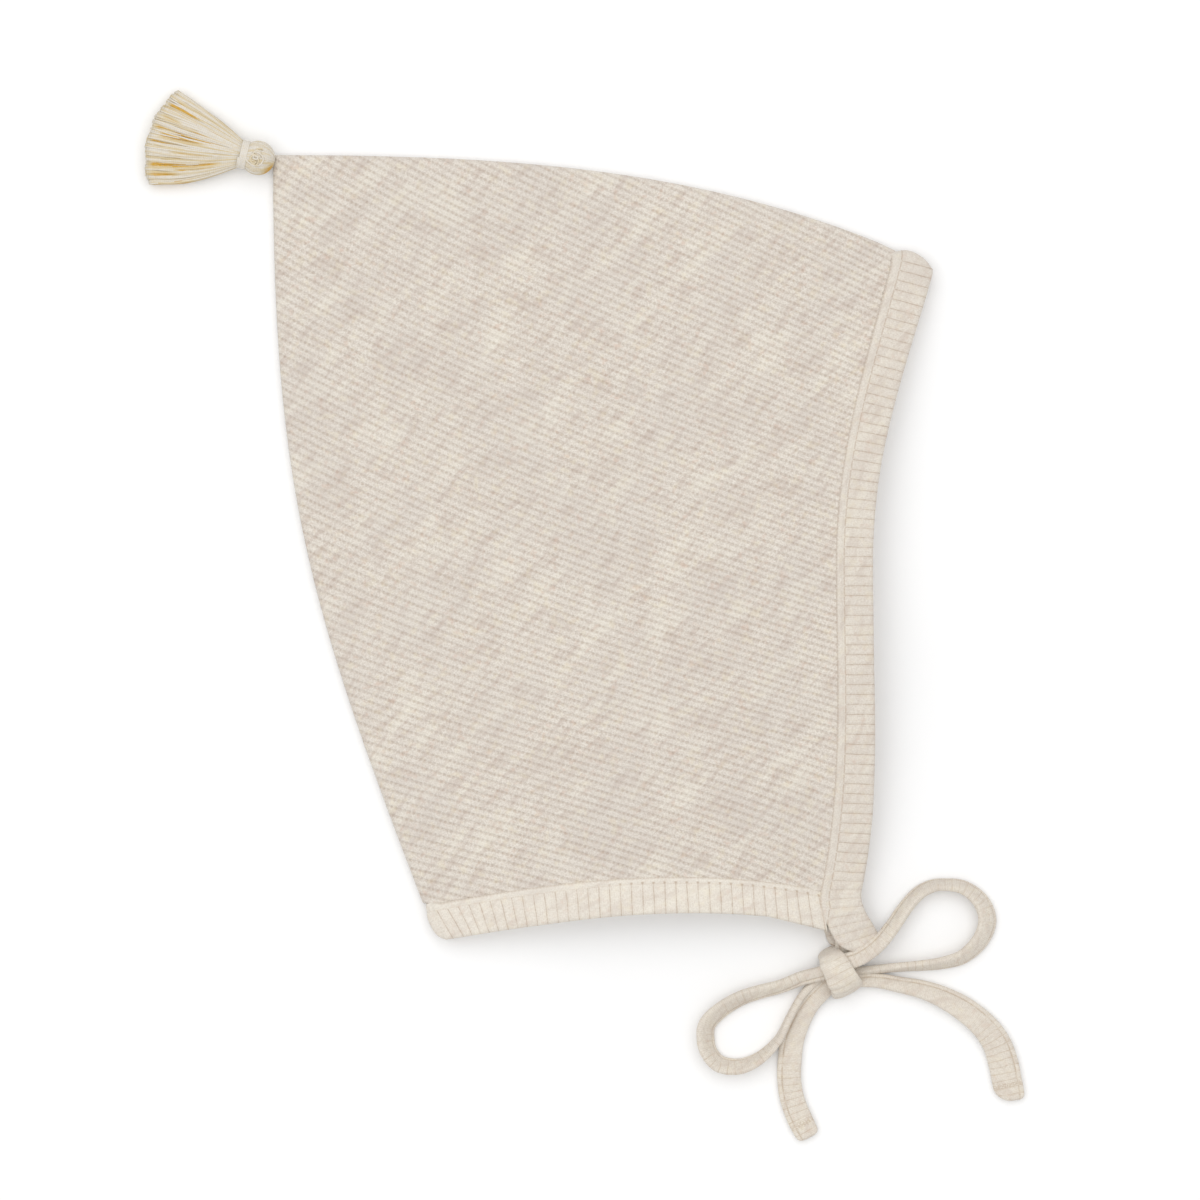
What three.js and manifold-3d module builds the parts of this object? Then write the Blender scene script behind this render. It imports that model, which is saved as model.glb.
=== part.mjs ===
// A baby's pixie nightcap lying flat on its side: two panels of ribbed jersey that meet in a point,
// folded rib bindings round the face and neck openings, ties knotted in a bow, and a thread tassel.
// Lengths are in millimetres and angles in degrees. The cap lies on the plane z = 0 and is worked out
// from its tip: the face opening is towards +X, the neck opening towards -Y.

import * as THREE from "three";
import { mergeVertices } from "three/addons/utils/BufferGeometryUtils.js";
import Module from "manifold-3d";

const wasm = await Module();
wasm.setup();

// Clearance that parts sewn or knotted together keep from each other.
const SEAM_GAP = 0.3;

// Hood: two side panels, sewn along the ridge and the back.
const HOOD_DEPTH = 162;
const HOOD_HEIGHT = 194;
const FABRIC = 1.2;
const SEAM_CREASE = 0.8;
const PUFF = 12;
const PUFF_POWER = 2.4;
const CHIN_TUCK = 0.72;
const TUCK_POWER = 3;

// Bindings: a folded strip with a raised welt where it is sewn to the hood.
const FACE_BAND_WIDTH = 10.8;
const NECK_BAND_WIDTH = 10;
const BAND_THICK = 2;
const BAND_CREASE = 0.6;
const BAND_SETTLE = 0.5;
const BAND_SETTLED = 0.25;
const BAND_END = 2.6;
const BAND_CORNER = 1.6;
const WELT_WIDTH = 2.3;
const WELT_RISE = 0.4;
const WELT_SLOPE = 0.25;

// Ties and their bow.
const TIE_WIDTH = 6.2;
const TIE_THICK = 2.2;
const TIE_CORE = 0.2;
const ROOT_REACH = 12;
const LOOP_REACH = 36;
const TAIL_REACH = 44;
const KNOT_LENGTH = 14.2;
const KNOT_WIDTH = 8.6;
const KNOT_HEIGHT = 8.8;
const KNOT_HEADING = -57;
const KNOT_SQUARENESS = 2.6;
const KNOT_OFFSET = { along: 0.4, down: 6 };

// Tassel: a head of looped thread, a wound neck and a cut skirt.
const TASSEL_HEAD = 8.8;
const TASSEL_NECK = 5.8;
const TASSEL_SKIRT = 26.2;
const TASSEL_SPREAD = 59;
const TASSEL_DEPTH = 4.6;
const TASSEL_HEADING = 166.8;
const TASSEL_DROP = 0.9;
const TASSEL_LOCKS = 12;
const LOCK_OVERLAP = 1.4;
const CUT_UNEVEN = [0, 0.024, 0.016, 0.008];
const CUT_SLANT = 0.07;
const BINDING_THREAD = 1;
const BINDING_LENGTH = 1.8;
const BINDING_PLACE = 3.8;

// Fineness of the solids.
const ROLL_STEPS = 3;
const NEAR_STEPS = { across: 20, down: 24 };
const FAR_STEPS = { across: 10, down: 12 };
const FACE_STATIONS = 24;
const NECK_STATIONS = 15;
const FOLD_STEPS = 6;
const END_TURNS = [29, 52, 72];
const STRAP_STEPS = 2;
const STRAP_EDGE = [-90, -45, 0, 45, 90];
const KNOT_SIDES = 14;
const KNOT_STATIONS = [-0.99, -0.93, -0.78, -0.5, 0, 0.5, 0.78, 0.93, 0.99];
const HEAD_STEPS = { around: 18, down: 12 };
const NECK_SIDES = 16;
const LOCK_SIDES = 8;
const BINDING_STEPS = { around: 22, section: 8 };

// The hood's corners: along = share of the depth from the tip, down = share of the height below it.
const TIP = { along: 0, down: 0 };
const CROWN = { along: 1, down: 0.127 };
const NAPE = { along: 0.238, down: 1 };
const CHIN = { along: 0.881, down: 0.979 };

// Edges of the hood: heading = the way the edge runs there, pull = handle as a share of the chord.
const RIDGE = [
  { ...TIP, heading: 0, pull: 0.36 },
  { ...CROWN, heading: -23, pull: 0.34 },
];
const BACK = [
  { ...TIP, heading: -90, pull: 0.43 },
  { ...NAPE, heading: -69, pull: 0.43 },
];
const FACE = [
  { ...CROWN, heading: -104.5, pull: 0.34 },
  { along: 0.903, down: 0.545, heading: -90, pull: 0.36 },
  { ...CHIN, heading: -103, pull: 0.36 },
  { along: 0.909, down: 1.063, heading: -70, pull: 0.36 },
];
const NECK = [
  { ...NAPE, heading: 4.5, pull: 0.36 },
  { ...CHIN, heading: -8.5, pull: 0.36 },
];

// The neck binding's ribs: at = share of the neck seam from the nape, heading = across the binding.
const NECK_LEAN = [
  { at: 0, heading: -69 },
  { at: 0.12, heading: -78 },
  { at: 0.5, heading: -90 },
  { at: 1, heading: -88 },
];

// Ties. along and up = shares of the reach from the middle of the knot, rise = height above what the
// strap lies on in tie thicknesses, wide = share of the tie's width, tilt = turn about its own run.
const LOOP_LEFT = [
  { along: -0.05, up: -0.02, rise: 1.9, wide: 0.6, tilt: 15 },
  { along: -0.16, up: -0.045, rise: 1.6, wide: 0.6, tilt: 20 },
  { along: -0.289, up: -0.07, rise: 0.9, wide: 0.62, tilt: 30 },
  { along: -0.433, up: -0.118, rise: 0.3, wide: 0.7, tilt: 45 },
  { along: -0.578, up: -0.147, rise: 0, wide: 0.8, tilt: 50 },
  { along: -0.722, up: -0.194, rise: 0, wide: 0.86, tilt: 50 },
  { along: -0.867, up: -0.28, rise: 0, wide: 0.92, tilt: 48 },
  { along: -0.965, up: -0.39, rise: 0, wide: 0.95, tilt: 46 },
  { along: -0.978, up: -0.487, rise: 0, wide: 0.96, tilt: 46 },
  { along: -0.95, up: -0.59, rise: 0, wide: 0.94, tilt: 48 },
  { along: -0.867, up: -0.673, rise: 0, wide: 0.92, tilt: 50 },
  { along: -0.722, up: -0.684, rise: 0, wide: 0.9, tilt: 56 },
  { along: -0.578, up: -0.618, rise: 0, wide: 0.86, tilt: 68 },
  { along: -0.455, up: -0.495, rise: 0, wide: 0.8, tilt: 80 },
  { along: -0.38, up: -0.35, rise: 0, wide: 0.75, tilt: 88 },
  { along: -0.292, up: -0.2, rise: 0, wide: 0.62, tilt: 88 },
  { along: -0.2, up: -0.105, rise: 0, wide: 0.5, tilt: 80 },
  { along: -0.06, up: -0.05, rise: 0.1, wide: 0.46, tilt: 70 },
];
const LOOP_RIGHT = [
  { along: 0.04, up: 0.04, rise: 1.9, wide: 0.72, tilt: 10 },
  { along: 0.108, up: 0.072, rise: 1.9, wide: 0.74, tilt: 15 },
  { along: 0.203, up: 0.13, rise: 1.6, wide: 0.76, tilt: 25 },
  { along: 0.317, up: 0.205, rise: 0.9, wide: 0.8, tilt: 35 },
  { along: 0.45, up: 0.383, rise: 0.1, wide: 0.84, tilt: 46 },
  { along: 0.595, up: 0.558, rise: 0, wide: 0.84, tilt: 58 },
  { along: 0.739, up: 0.626, rise: 0, wide: 0.84, tilt: 66 },
  { along: 0.884, up: 0.606, rise: 0, wide: 0.88, tilt: 60 },
  { along: 1.007, up: 0.508, rise: 0, wide: 0.94, tilt: 50 },
  { along: 1.057, up: 0.369, rise: 0, wide: 0.98, tilt: 44 },
  { along: 1.007, up: 0.225, rise: 0, wide: 0.96, tilt: 46 },
  { along: 0.884, up: 0.108, rise: 0, wide: 0.9, tilt: 54 },
  { along: 0.739, up: 0.062, rise: 0, wide: 0.86, tilt: 62 },
  { along: 0.595, up: 0.043, rise: 0, wide: 0.8, tilt: 68 },
  { along: 0.45, up: 0.032, rise: 0, wide: 0.7, tilt: 72 },
  { along: 0.306, up: 0.018, rise: 0, wide: 0.56, tilt: 70 },
  { along: 0.097, up: -0.01, rise: 0, wide: 0.5, tilt: 60 },
];
const TAIL_LEFT = [
  { along: -0.02, up: -0.04, rise: 0.3, wide: 0.78, tilt: 0 },
  { along: -0.07, up: -0.11, rise: 0.3, wide: 0.8, tilt: 0 },
  { along: -0.15, up: -0.185, rise: 0.1, wide: 0.82, tilt: 0 },
  { along: -0.218, up: -0.289, rise: 0, wide: 0.9, tilt: 0 },
  { along: -0.272, up: -0.407, rise: 0, wide: 0.97, tilt: 0 },
  { along: -0.302, up: -0.525, rise: 0, wide: 1, tilt: 0 },
  { along: -0.305, up: -0.643, rise: 0, wide: 1, tilt: 0 },
  { along: -0.286, up: -0.761, rise: 0, wide: 1.02, tilt: 0 },
  { along: -0.24, up: -0.88, rise: 0, wide: 1.04, tilt: 0 },
  { along: -0.186, up: -0.985, rise: 0, wide: 0.98, tilt: 0 },
];
const TAIL_RIGHT = [
  { along: 0.02, up: -0.045, rise: 0.4, wide: 0.58, tilt: 10 },
  { along: 0.1, up: -0.052, rise: 0.3, wide: 0.58, tilt: 16 },
  { along: 0.22, up: -0.056, rise: 0.1, wide: 0.62, tilt: 22 },
  { along: 0.36, up: -0.083, rise: 0, wide: 0.7, tilt: 24 },
  { along: 0.481, up: -0.109, rise: 0, wide: 0.8, tilt: 22 },
  { along: 0.6, up: -0.153, rise: 0, wide: 0.92, tilt: 18 },
  { along: 0.724, up: -0.222, rise: 0, wide: 1.04, tilt: 12 },
  { along: 0.842, up: -0.319, rise: 0, wide: 1.12, tilt: 8 },
  { along: 0.92, up: -0.427, rise: 0, wide: 1.2, tilt: 4 },
  { along: 0.959, up: -0.538, rise: 0, wide: 1.26, tilt: 0 },
  { along: 0.979, up: -0.633, rise: 0, wide: 1.26, tilt: 0 },
  { along: 1.001, up: -0.713, rise: 0, wide: 1, tilt: 0 },
  { along: 1.015, up: -0.758, rise: 0, wide: 0.62, tilt: 0 },
];
const ROOT_NEAR = [
  { along: 0.56, up: 0.98, rise: 0, wide: 0.66, tilt: 0 },
  { along: 0.5, up: 0.7, rise: 0, wide: 0.66, tilt: 0 },
  { along: 0.36, up: 0.4, rise: 0, wide: 0.6, tilt: 0 },
  { along: 0.16, up: 0.12, rise: 0, wide: 0.5, tilt: 0 },
];
const ROOT_FAR = [
  { along: 0.06, up: 0.98, rise: 0, wide: 0.66, tilt: 0 },
  { along: 0.05, up: 0.7, rise: 0, wide: 0.66, tilt: 0 },
  { along: 0.02, up: 0.4, rise: 0, wide: 0.6, tilt: 0 },
  { along: 0, up: 0.12, rise: 0, wide: 0.5, tilt: 0 },
];

// A lock of the tassel's skirt, from the neck to its cut end: run = share of the way, wide = share of
// the lock's width at the cut, deep = share of the skirt's depth, sink = share of the fall to the floor.
const LOCK = [
  { run: 0, wide: 0.3, deep: 0.5, sink: 0 },
  { run: 0.12, wide: 0.4, deep: 0.7, sink: 0.1 },
  { run: 0.35, wide: 0.62, deep: 0.95, sink: 0.5 },
  { run: 0.65, wide: 0.85, deep: 1, sink: 0.9 },
  { run: 0.93, wide: 1, deep: 0.95, sink: 1 },
  { run: 1, wide: 0.86, deep: 0.7, sink: 1 },
];

const jersey = new THREE.MeshStandardMaterial({ color: 0xe0d7cb, roughness: 0.95, metalness: 0 });
const rib = new THREE.MeshStandardMaterial({ color: 0xe3dbcf, roughness: 0.95, metalness: 0 });
const thread = new THREE.MeshStandardMaterial({ color: 0xe8dec4, roughness: 0.8, metalness: 0 });

function planPoint(row) {
  return new THREE.Vector2(row.along * HOOD_DEPTH, -row.down * HOOD_HEIGHT);
}

function direction(degrees) {
  const angle = THREE.MathUtils.degToRad(degrees);
  return new THREE.Vector2(Math.cos(angle), Math.sin(angle));
}

// A smooth curve through the rows of an edge, which leaves and reaches each along its heading.
function edge(rows) {
  const path = new THREE.CurvePath();
  for (let i = 1; i < rows.length; i++) {
    const start = planPoint(rows[i - 1]);
    const end = planPoint(rows[i]);
    const chord = start.distanceTo(end);
    const leave = direction(rows[i - 1].heading).multiplyScalar(rows[i - 1].pull * chord);
    const reach = direction(rows[i].heading).multiplyScalar(rows[i].pull * chord);
    leave.add(start);
    reach.subVectors(end, reach);
    path.add(new THREE.CubicBezierCurve(start, leave, reach, end));
  }
  return path;
}

const ridge = edge(RIDGE);
const back = edge(BACK);
const faceSeam = edge(FACE.slice(0, 3));
const faceBandSeam = edge(FACE);
const neckSeam = edge(NECK);

// A closed mesh from its points and triangles, turned to face outwards.
function closedBody(points, triangles) {
  let volume = 0;
  for (const [a, b, c] of triangles) {
    volume += points[a].dot(points[b].clone().cross(points[c]));
  }
  const outward = volume > 0 ? triangles : triangles.map(([a, b, c]) => [a, c, b]);
  const geometry = new THREE.BufferGeometry().setFromPoints(points);
  geometry.setIndex(outward.flat());
  return geometry;
}

// A ring of points carried along a run, closed at both ends by a fan to the ring's middle.
function sweep(rings) {
  const points = rings.flat();
  const count = rings[0].length;
  const triangles = [];
  for (let k = 0; k + 1 < rings.length; k++) {
    for (let i = 0; i < count; i++) {
      const a = k * count + i;
      const b = k * count + ((i + 1) % count);
      triangles.push([a, b, a + count], [b, b + count, a + count]);
    }
  }
  for (const [ring, offset, turn] of [[rings[0], 0, 1], [rings.at(-1), points.length - count, 0]]) {
    const middle = ring.reduce((sum, p) => sum.add(p), new THREE.Vector3()).divideScalar(count);
    points.push(middle);
    for (let i = 0; i < count; i++) {
      const pair = [offset + i, offset + ((i + 1) % count)];
      triangles.push([points.length - 1, pair[turn], pair[1 - turn]]);
    }
  }
  return closedBody(points, triangles);
}

// A slab between an upper and a lower grid of points with the same rows and columns.
function slab(upper, lower) {
  const rows = upper.length;
  const columns = upper[0].length;
  const points = [...upper.flat(), ...lower.flat()];
  const under = rows * columns;
  const triangles = [];
  const at = (j, i) => j * columns + i;
  for (let j = 0; j + 1 < rows; j++) {
    for (let i = 0; i + 1 < columns; i++) {
      const [a, b, c, d] = [at(j, i), at(j, i + 1), at(j + 1, i), at(j + 1, i + 1)];
      triangles.push([a, c, b], [b, c, d]);
      triangles.push([a + under, b + under, c + under], [b + under, d + under, c + under]);
    }
  }
  const rim = [];
  for (let i = 0; i < columns - 1; i++) rim.push(at(0, i));
  for (let j = 0; j < rows - 1; j++) rim.push(at(j, columns - 1));
  for (let i = columns - 1; i > 0; i--) rim.push(at(rows - 1, i));
  for (let j = rows - 1; j > 0; j--) rim.push(at(j, 0));
  rim.forEach((a, i) => {
    const b = rim[(i + 1) % rim.length];
    triangles.push([a, b, a + under], [b, b + under, a + under]);
  });
  return closedBody(points, triangles);
}

function solidOf(geometry) {
  const bare = geometry.clone();
  bare.deleteAttribute("normal");
  bare.deleteAttribute("uv");
  const merged = mergeVertices(bare);
  const vertProperties = new Float32Array(merged.attributes.position.array);
  const triVerts = new Uint32Array(merged.index.array);
  return new wasm.Manifold(new wasm.Mesh({ numProp: 3, vertProperties, triVerts }));
}

function geometryOf(solid) {
  const mesh = solid.getMesh();
  const geometry = new THREE.BufferGeometry();
  geometry.setAttribute("position", new THREE.BufferAttribute(mesh.vertProperties, 3));
  geometry.setIndex(new THREE.BufferAttribute(mesh.triVerts, 1));
  return geometry;
}

// The solid with room cut for its neighbours, as one piece.
function clearOf(solid, neighbours) {
  let left = solid;
  for (const neighbour of neighbours) left = left.subtract(neighbour);
  const pieces = left.decompose();
  return pieces.reduce((best, piece) => (piece.volume() > best.volume() ? piece : best));
}

function fuse(solids) {
  return solids.reduce((sum, solid) => sum.add(solid));
}

// Cloth pressed flat by the surface that it lies on.
function pressed(point) {
  point.z = Math.max(point.z, 0);
  return point;
}

function named(name, geometry, material) {
  const mesh = new THREE.Mesh(geometry, material);
  mesh.name = name;
  return mesh;
}

// Hood

const SEAM_HEIGHT = FABRIC + SEAM_CREASE / 2;
const HOOD_CORNERS = [TIP, CROWN, NAPE, CHIN].map(planPoint);

// Plan of the hood stretched between its four edges: u from the back to the face, v down from the ridge.
function hoodPlan(u, v) {
  const shares = [(1 - u) * (1 - v), u * (1 - v), (1 - u) * v, u * v];
  const point = ridge.getPoint(u).multiplyScalar(1 - v);
  point.add(neckSeam.getPoint(u).multiplyScalar(v));
  point.add(back.getPoint(v).multiplyScalar(1 - u));
  point.add(faceSeam.getPoint(v).multiplyScalar(u));
  HOOD_CORNERS.forEach((corner, i) => point.addScaledVector(corner, -shares[i]));
  return point;
}

// Height of the near side over the flat far side: none at the seams, little where the ties pull.
function lift(u, v) {
  const fromBack = 1 - (1 - u) ** PUFF_POWER;
  const fromRidge = 1 - (1 - v) ** PUFF_POWER;
  return PUFF * fromBack * fromRidge * (1 - CHIN_TUCK * (u * v) ** TUCK_POWER);
}

// Shares of an extent for the grid lines of a skin: a quarter round at the seam, then even steps.
function gridShares(extent, steps, skin) {
  const shares = [];
  for (let i = 0; i <= ROLL_STEPS; i++) {
    const turn = (Math.PI / 2) * (i / ROLL_STEPS);
    shares.push((skin.inset + skin.radius * (1 - Math.cos(turn))) / extent);
  }
  const start = shares.at(-1);
  const end = 1 - SEAM_GAP / extent;
  for (let i = 1; i <= steps; i++) shares.push(start + (end - start) * (i / steps));
  return shares;
}

// Roundness of the grid line next to the seam, from 0 at the seam to 1 where the panel is flat.
function roll(i) {
  return Math.sin((Math.PI / 2) * Math.min(i / ROLL_STEPS, 1));
}

// One skin of a panel as a grid of points. side is 1 for the near panel and -1 for the far one.
function hoodSkin(side, steps, skin) {
  const columns = ROLL_STEPS + steps.across + 1;
  const rows = ROLL_STEPS + steps.down + 1;
  const grid = [];
  for (let j = 0; j < rows; j++) {
    const downShare = j / (rows - 1);
    const depth = back.getPoint(downShare).distanceTo(faceSeam.getPoint(downShare));
    const across = gridShares(depth, steps.across, skin);
    const row = [];
    for (let i = 0; i < columns; i++) {
      const acrossShare = i / (columns - 1);
      const height = ridge.getPoint(acrossShare).distanceTo(neckSeam.getPoint(acrossShare));
      const u = across[i];
      const v = gridShares(height, steps.down, skin)[j];
      const plan = hoodPlan(u, v);
      const rise = SEAM_GAP / 2 + (skin.radius - SEAM_GAP / 2) * roll(i) * roll(j);
      const raised = side > 0 ? lift(u, v) : 0;
      row.push(new THREE.Vector3(plan.x, plan.y, SEAM_HEIGHT + side * rise + raised));
    }
    grid.push(row);
  }
  return grid;
}

function hoodPanel(side, steps) {
  const outer = hoodSkin(side, steps, { inset: 0, radius: SEAM_HEIGHT });
  const inner = hoodSkin(side, steps, { inset: FABRIC, radius: SEAM_CREASE / 2 });
  return side > 0 ? slab(outer, inner) : slab(inner, outer);
}

// Bindings

const FOLD_HEIGHT = BAND_THICK + BAND_CREASE / 2;
const FOLD_MIDDLE = (BAND_THICK + BAND_CREASE) / 2;

// Section of a binding: a = distance from the seam, b = distance out of the strip's middle.
function bindingSection(width) {
  const half = BAND_THICK / 2;
  const round = half / 2;
  return [
    { a: round, b: -half },
    { a: width - round, b: -half },
    { a: width, b: -round },
    { a: width, b: round },
    { a: width - round, b: half },
    { a: WELT_WIDTH, b: half },
    { a: WELT_WIDTH * (1 - WELT_SLOPE), b: half + WELT_RISE },
    { a: WELT_WIDTH * WELT_SLOPE, b: half + WELT_RISE },
    { a: 0, b: round },
    { a: 0, b: -round },
  ];
}

// Middle of the near side of a binding above the floor, where the hood's own edge is lifted so much.
function nearMiddle(down, raised) {
  return FOLD_HEIGHT + FOLD_MIDDLE - BAND_SETTLE * Math.min(down / BAND_SETTLED, 1) + raised;
}

// A ring of a binding's section: over = the way across the strip, out = the way out of its face.
function bandRing(width, { base, over, out, height, narrow }) {
  return bindingSection(width).map(({ a, b }) => {
    const reach = width / 2 + (a - width / 2) * narrow;
    const flat = base.clone().addScaledVector(over, reach);
    return pressed(new THREE.Vector3(flat.x, flat.y, height).addScaledVector(out, b));
  });
}

// One lap of a binding along its seam, from the fold to its end, which is rounded off where it ends.
function bandLap(side, { seam, width, stations, across, raised, stop, rounded }) {
  const length = seam.getLength();
  const first = FOLD_HEIGHT / length;
  const last = 1 - stop / length;
  const out = new THREE.Vector3(0, 0, side);
  const heightAt = (t) => (side > 0 ? nearMiddle(t, raised(t)) : BAND_THICK / 2);
  const rings = [];
  for (let k = 0; k <= stations; k++) {
    const t = first + (last - first) * (k / stations);
    const place = { base: seam.getPoint(t), over: across(t), height: heightAt(t) };
    rings.push(bandRing(width, { ...place, out, narrow: 1 }));
  }
  for (const degrees of rounded ? END_TURNS : []) {
    const { x: narrow, y: share } = direction(degrees);
    const base = seam.getPoint(last).addScaledVector(seam.getTangent(1), BAND_END * share);
    const place = { base, over: across(1), height: heightAt(1) };
    rings.push(bandRing(width, { ...place, out, narrow: Math.sqrt(narrow) }));
  }
  return rings;
}

// The fold of a binding round the start of its seam, from the far side up to the near one.
function bandFold({ seam, width, across }) {
  const first = FOLD_HEIGHT / seam.getLength();
  const over = across(first);
  const away = new THREE.Vector2(over.y, -over.x);
  if (away.dot(seam.getTangent(0)) > 0) away.negate();
  const rings = [];
  for (let k = 1; k < FOLD_STEPS; k++) {
    const turn = Math.PI * (k / FOLD_STEPS - 0.5);
    const [level, upward] = [Math.cos(turn), Math.sin(turn)];
    const base = seam.getPoint(first).addScaledVector(away, level * FOLD_MIDDLE);
    const out = new THREE.Vector3(away.x * level, away.y * level, upward);
    const narrow = 1 - (BAND_CORNER / width) * level ** 2;
    rings.push(bandRing(width, { base, over, out, height: FOLD_HEIGHT + upward * FOLD_MIDDLE, narrow }));
  }
  return rings;
}

// A binding that runs along a seam on the far side, folds over at the seam's start and comes back on
// the near side. across(t) is the way over the strip and raised(t) the lift of the near side.
function binding(plan) {
  return sweep([...bandLap(-1, plan).reverse(), ...bandFold(plan), ...bandLap(1, plan)]);
}

function faceBand() {
  const hoodShare = faceSeam.getLength() / faceBandSeam.getLength();
  return binding({
    seam: faceBandSeam,
    width: FACE_BAND_WIDTH,
    stations: FACE_STATIONS,
    across: (t) => {
      const way = faceBandSeam.getTangent(t);
      return new THREE.Vector2(-way.y, way.x);
    },
    raised: (t) => lift(1, Math.min(t / hoodShare, 1)),
    stop: BAND_END,
    rounded: true,
  });
}

function neckLean(t) {
  const next = Math.max(NECK_LEAN.findIndex((row) => row.at >= t), 1);
  const [from, to] = [NECK_LEAN[next - 1], NECK_LEAN[next]];
  const share = (t - from.at) / (to.at - from.at);
  return direction(from.heading + (to.heading - from.heading) * share);
}

function neckBand() {
  return binding({
    seam: neckSeam,
    width: NECK_BAND_WIDTH,
    stations: NECK_STATIONS,
    across: neckLean,
    raised: (t) => lift(t, 1),
    stop: 2 * SEAM_GAP,
    rounded: false,
  });
}

// Ties and bow, worked out from the middle of the knot

// A smooth curve through three shares of each row of a table.
function through(rows, shares) {
  const points = rows.map((row) => new THREE.Vector3(...shares(row)));
  return new THREE.CatmullRomCurve3(points, false, "catmullrom");
}

// The rounded section of a strap, between the middles of its two edges.
function strapRing(middle, side, out, half, radius) {
  const ring = [];
  for (const end of [1, -1]) {
    for (const angle of STRAP_EDGE) {
      const rim = direction(angle).multiplyScalar(end * radius);
      const point = middle.clone().addScaledVector(side, end * half + rim.x);
      ring.push(pressed(point.addScaledVector(out, rim.y)));
    }
  }
  return ring;
}

// A strap along its route. lifted is the height of what it lies on, and margin makes it larger all
// round, for the room that its neighbours leave.
function strap(rows, reach, { lifted = 0, margin = 0 } = {}) {
  const route = through(rows, (row) => [row.along * reach, row.up * reach, row.rise * TIE_THICK]);
  const form = through(rows, (row) => [row.wide * TIE_WIDTH, THREE.MathUtils.degToRad(row.tilt), 0]);
  const steps = (rows.length - 1) * STRAP_STEPS;
  const rings = [];
  for (let k = 0; k <= steps; k++) {
    const middle = route.getPoint(k / steps);
    const way = route.getTangent(k / steps).setZ(0).normalize();
    const { x: width, y: tilt } = form.getPoint(k / steps);
    const [level, upward] = [Math.cos(tilt), Math.sin(tilt)];
    const half = Math.max(width - TIE_THICK, TIE_CORE) / 2;
    middle.z += lifted + half * Math.abs(upward) + TIE_THICK / 2;
    const side = new THREE.Vector3(way.y * level, -way.x * level, upward);
    const out = new THREE.Vector3(-way.y * upward, way.x * upward, level);
    rings.push(strapRing(middle, side, out, half, TIE_THICK / 2 + margin));
  }
  return solidOf(sweep(rings));
}

// A point of a circle that is a little squared.
function squared(angle) {
  const [x, y] = [Math.cos(angle), Math.sin(angle)];
  const size = Math.abs(x) ** KNOT_SQUARENESS + Math.abs(y) ** KNOT_SQUARENESS;
  return [x, y].map((share) => share * size ** (-1 / KNOT_SQUARENESS));
}

// The wrap of the bow: rings along its length, which runs along its heading.
function knot(margin) {
  const way = direction(KNOT_HEADING);
  const [long, wide, high] = [KNOT_LENGTH, KNOT_WIDTH, KNOT_HEIGHT].map((size) => size / 2 + margin);
  const rings = [];
  for (const station of KNOT_STATIONS) {
    const girth = (1 - Math.abs(station) ** KNOT_SQUARENESS) ** (1 / KNOT_SQUARENESS);
    const ring = [];
    for (let i = 0; i < KNOT_SIDES; i++) {
      const [across, up] = squared((2 * Math.PI * i) / KNOT_SIDES);
      const x = way.x * station * long + way.y * across * girth * wide;
      const y = way.y * station * long - way.x * across * girth * wide;
      ring.push(pressed(new THREE.Vector3(x, y, KNOT_HEIGHT / 2 + up * girth * high)));
    }
    rings.push(ring);
  }
  return solidOf(sweep(rings));
}

function bow() {
  const group = new THREE.Group();
  const bandEnd = planPoint(FACE.at(-1));
  group.position.set(bandEnd.x + KNOT_OFFSET.along, bandEnd.y - KNOT_OFFSET.down, 0);
  const room = { margin: SEAM_GAP };
  const lying = { lifted: BAND_THICK + SEAM_GAP };
  const knotRoom = knot(SEAM_GAP);
  const tailLeftRoom = strap(TAIL_LEFT, TAIL_REACH, room);
  const tailRightRoom = strap(TAIL_RIGHT, TAIL_REACH, room);
  const loopLeftRoom = strap(LOOP_LEFT, LOOP_REACH, room);
  const loopRightRoom = strap(LOOP_RIGHT, LOOP_REACH, room);
  const rootNearRoom = strap(ROOT_NEAR, ROOT_REACH, { ...room, ...lying });
  const pieces = {
    bow_knot: knot(0),
    tie_end_left: clearOf(strap(TAIL_LEFT, TAIL_REACH), [knotRoom]),
    tie_end_right: clearOf(strap(TAIL_RIGHT, TAIL_REACH), [knotRoom]),
    bow_loop_left: clearOf(strap(LOOP_LEFT, LOOP_REACH), [knotRoom, tailLeftRoom]),
    bow_loop_right: clearOf(strap(LOOP_RIGHT, LOOP_REACH), [knotRoom, tailRightRoom]),
    tie_root_near: clearOf(strap(ROOT_NEAR, ROOT_REACH, lying), [knotRoom, loopRightRoom]),
    tie_root_far: clearOf(strap(ROOT_FAR, ROOT_REACH, lying), [knotRoom, rootNearRoom]),
  };
  for (const [name, solid] of Object.entries(pieces)) group.add(named(name, geometryOf(solid), rib));
  return group;
}

// Tassel, worked out from the middle of its head, with its skirt towards +X

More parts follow.
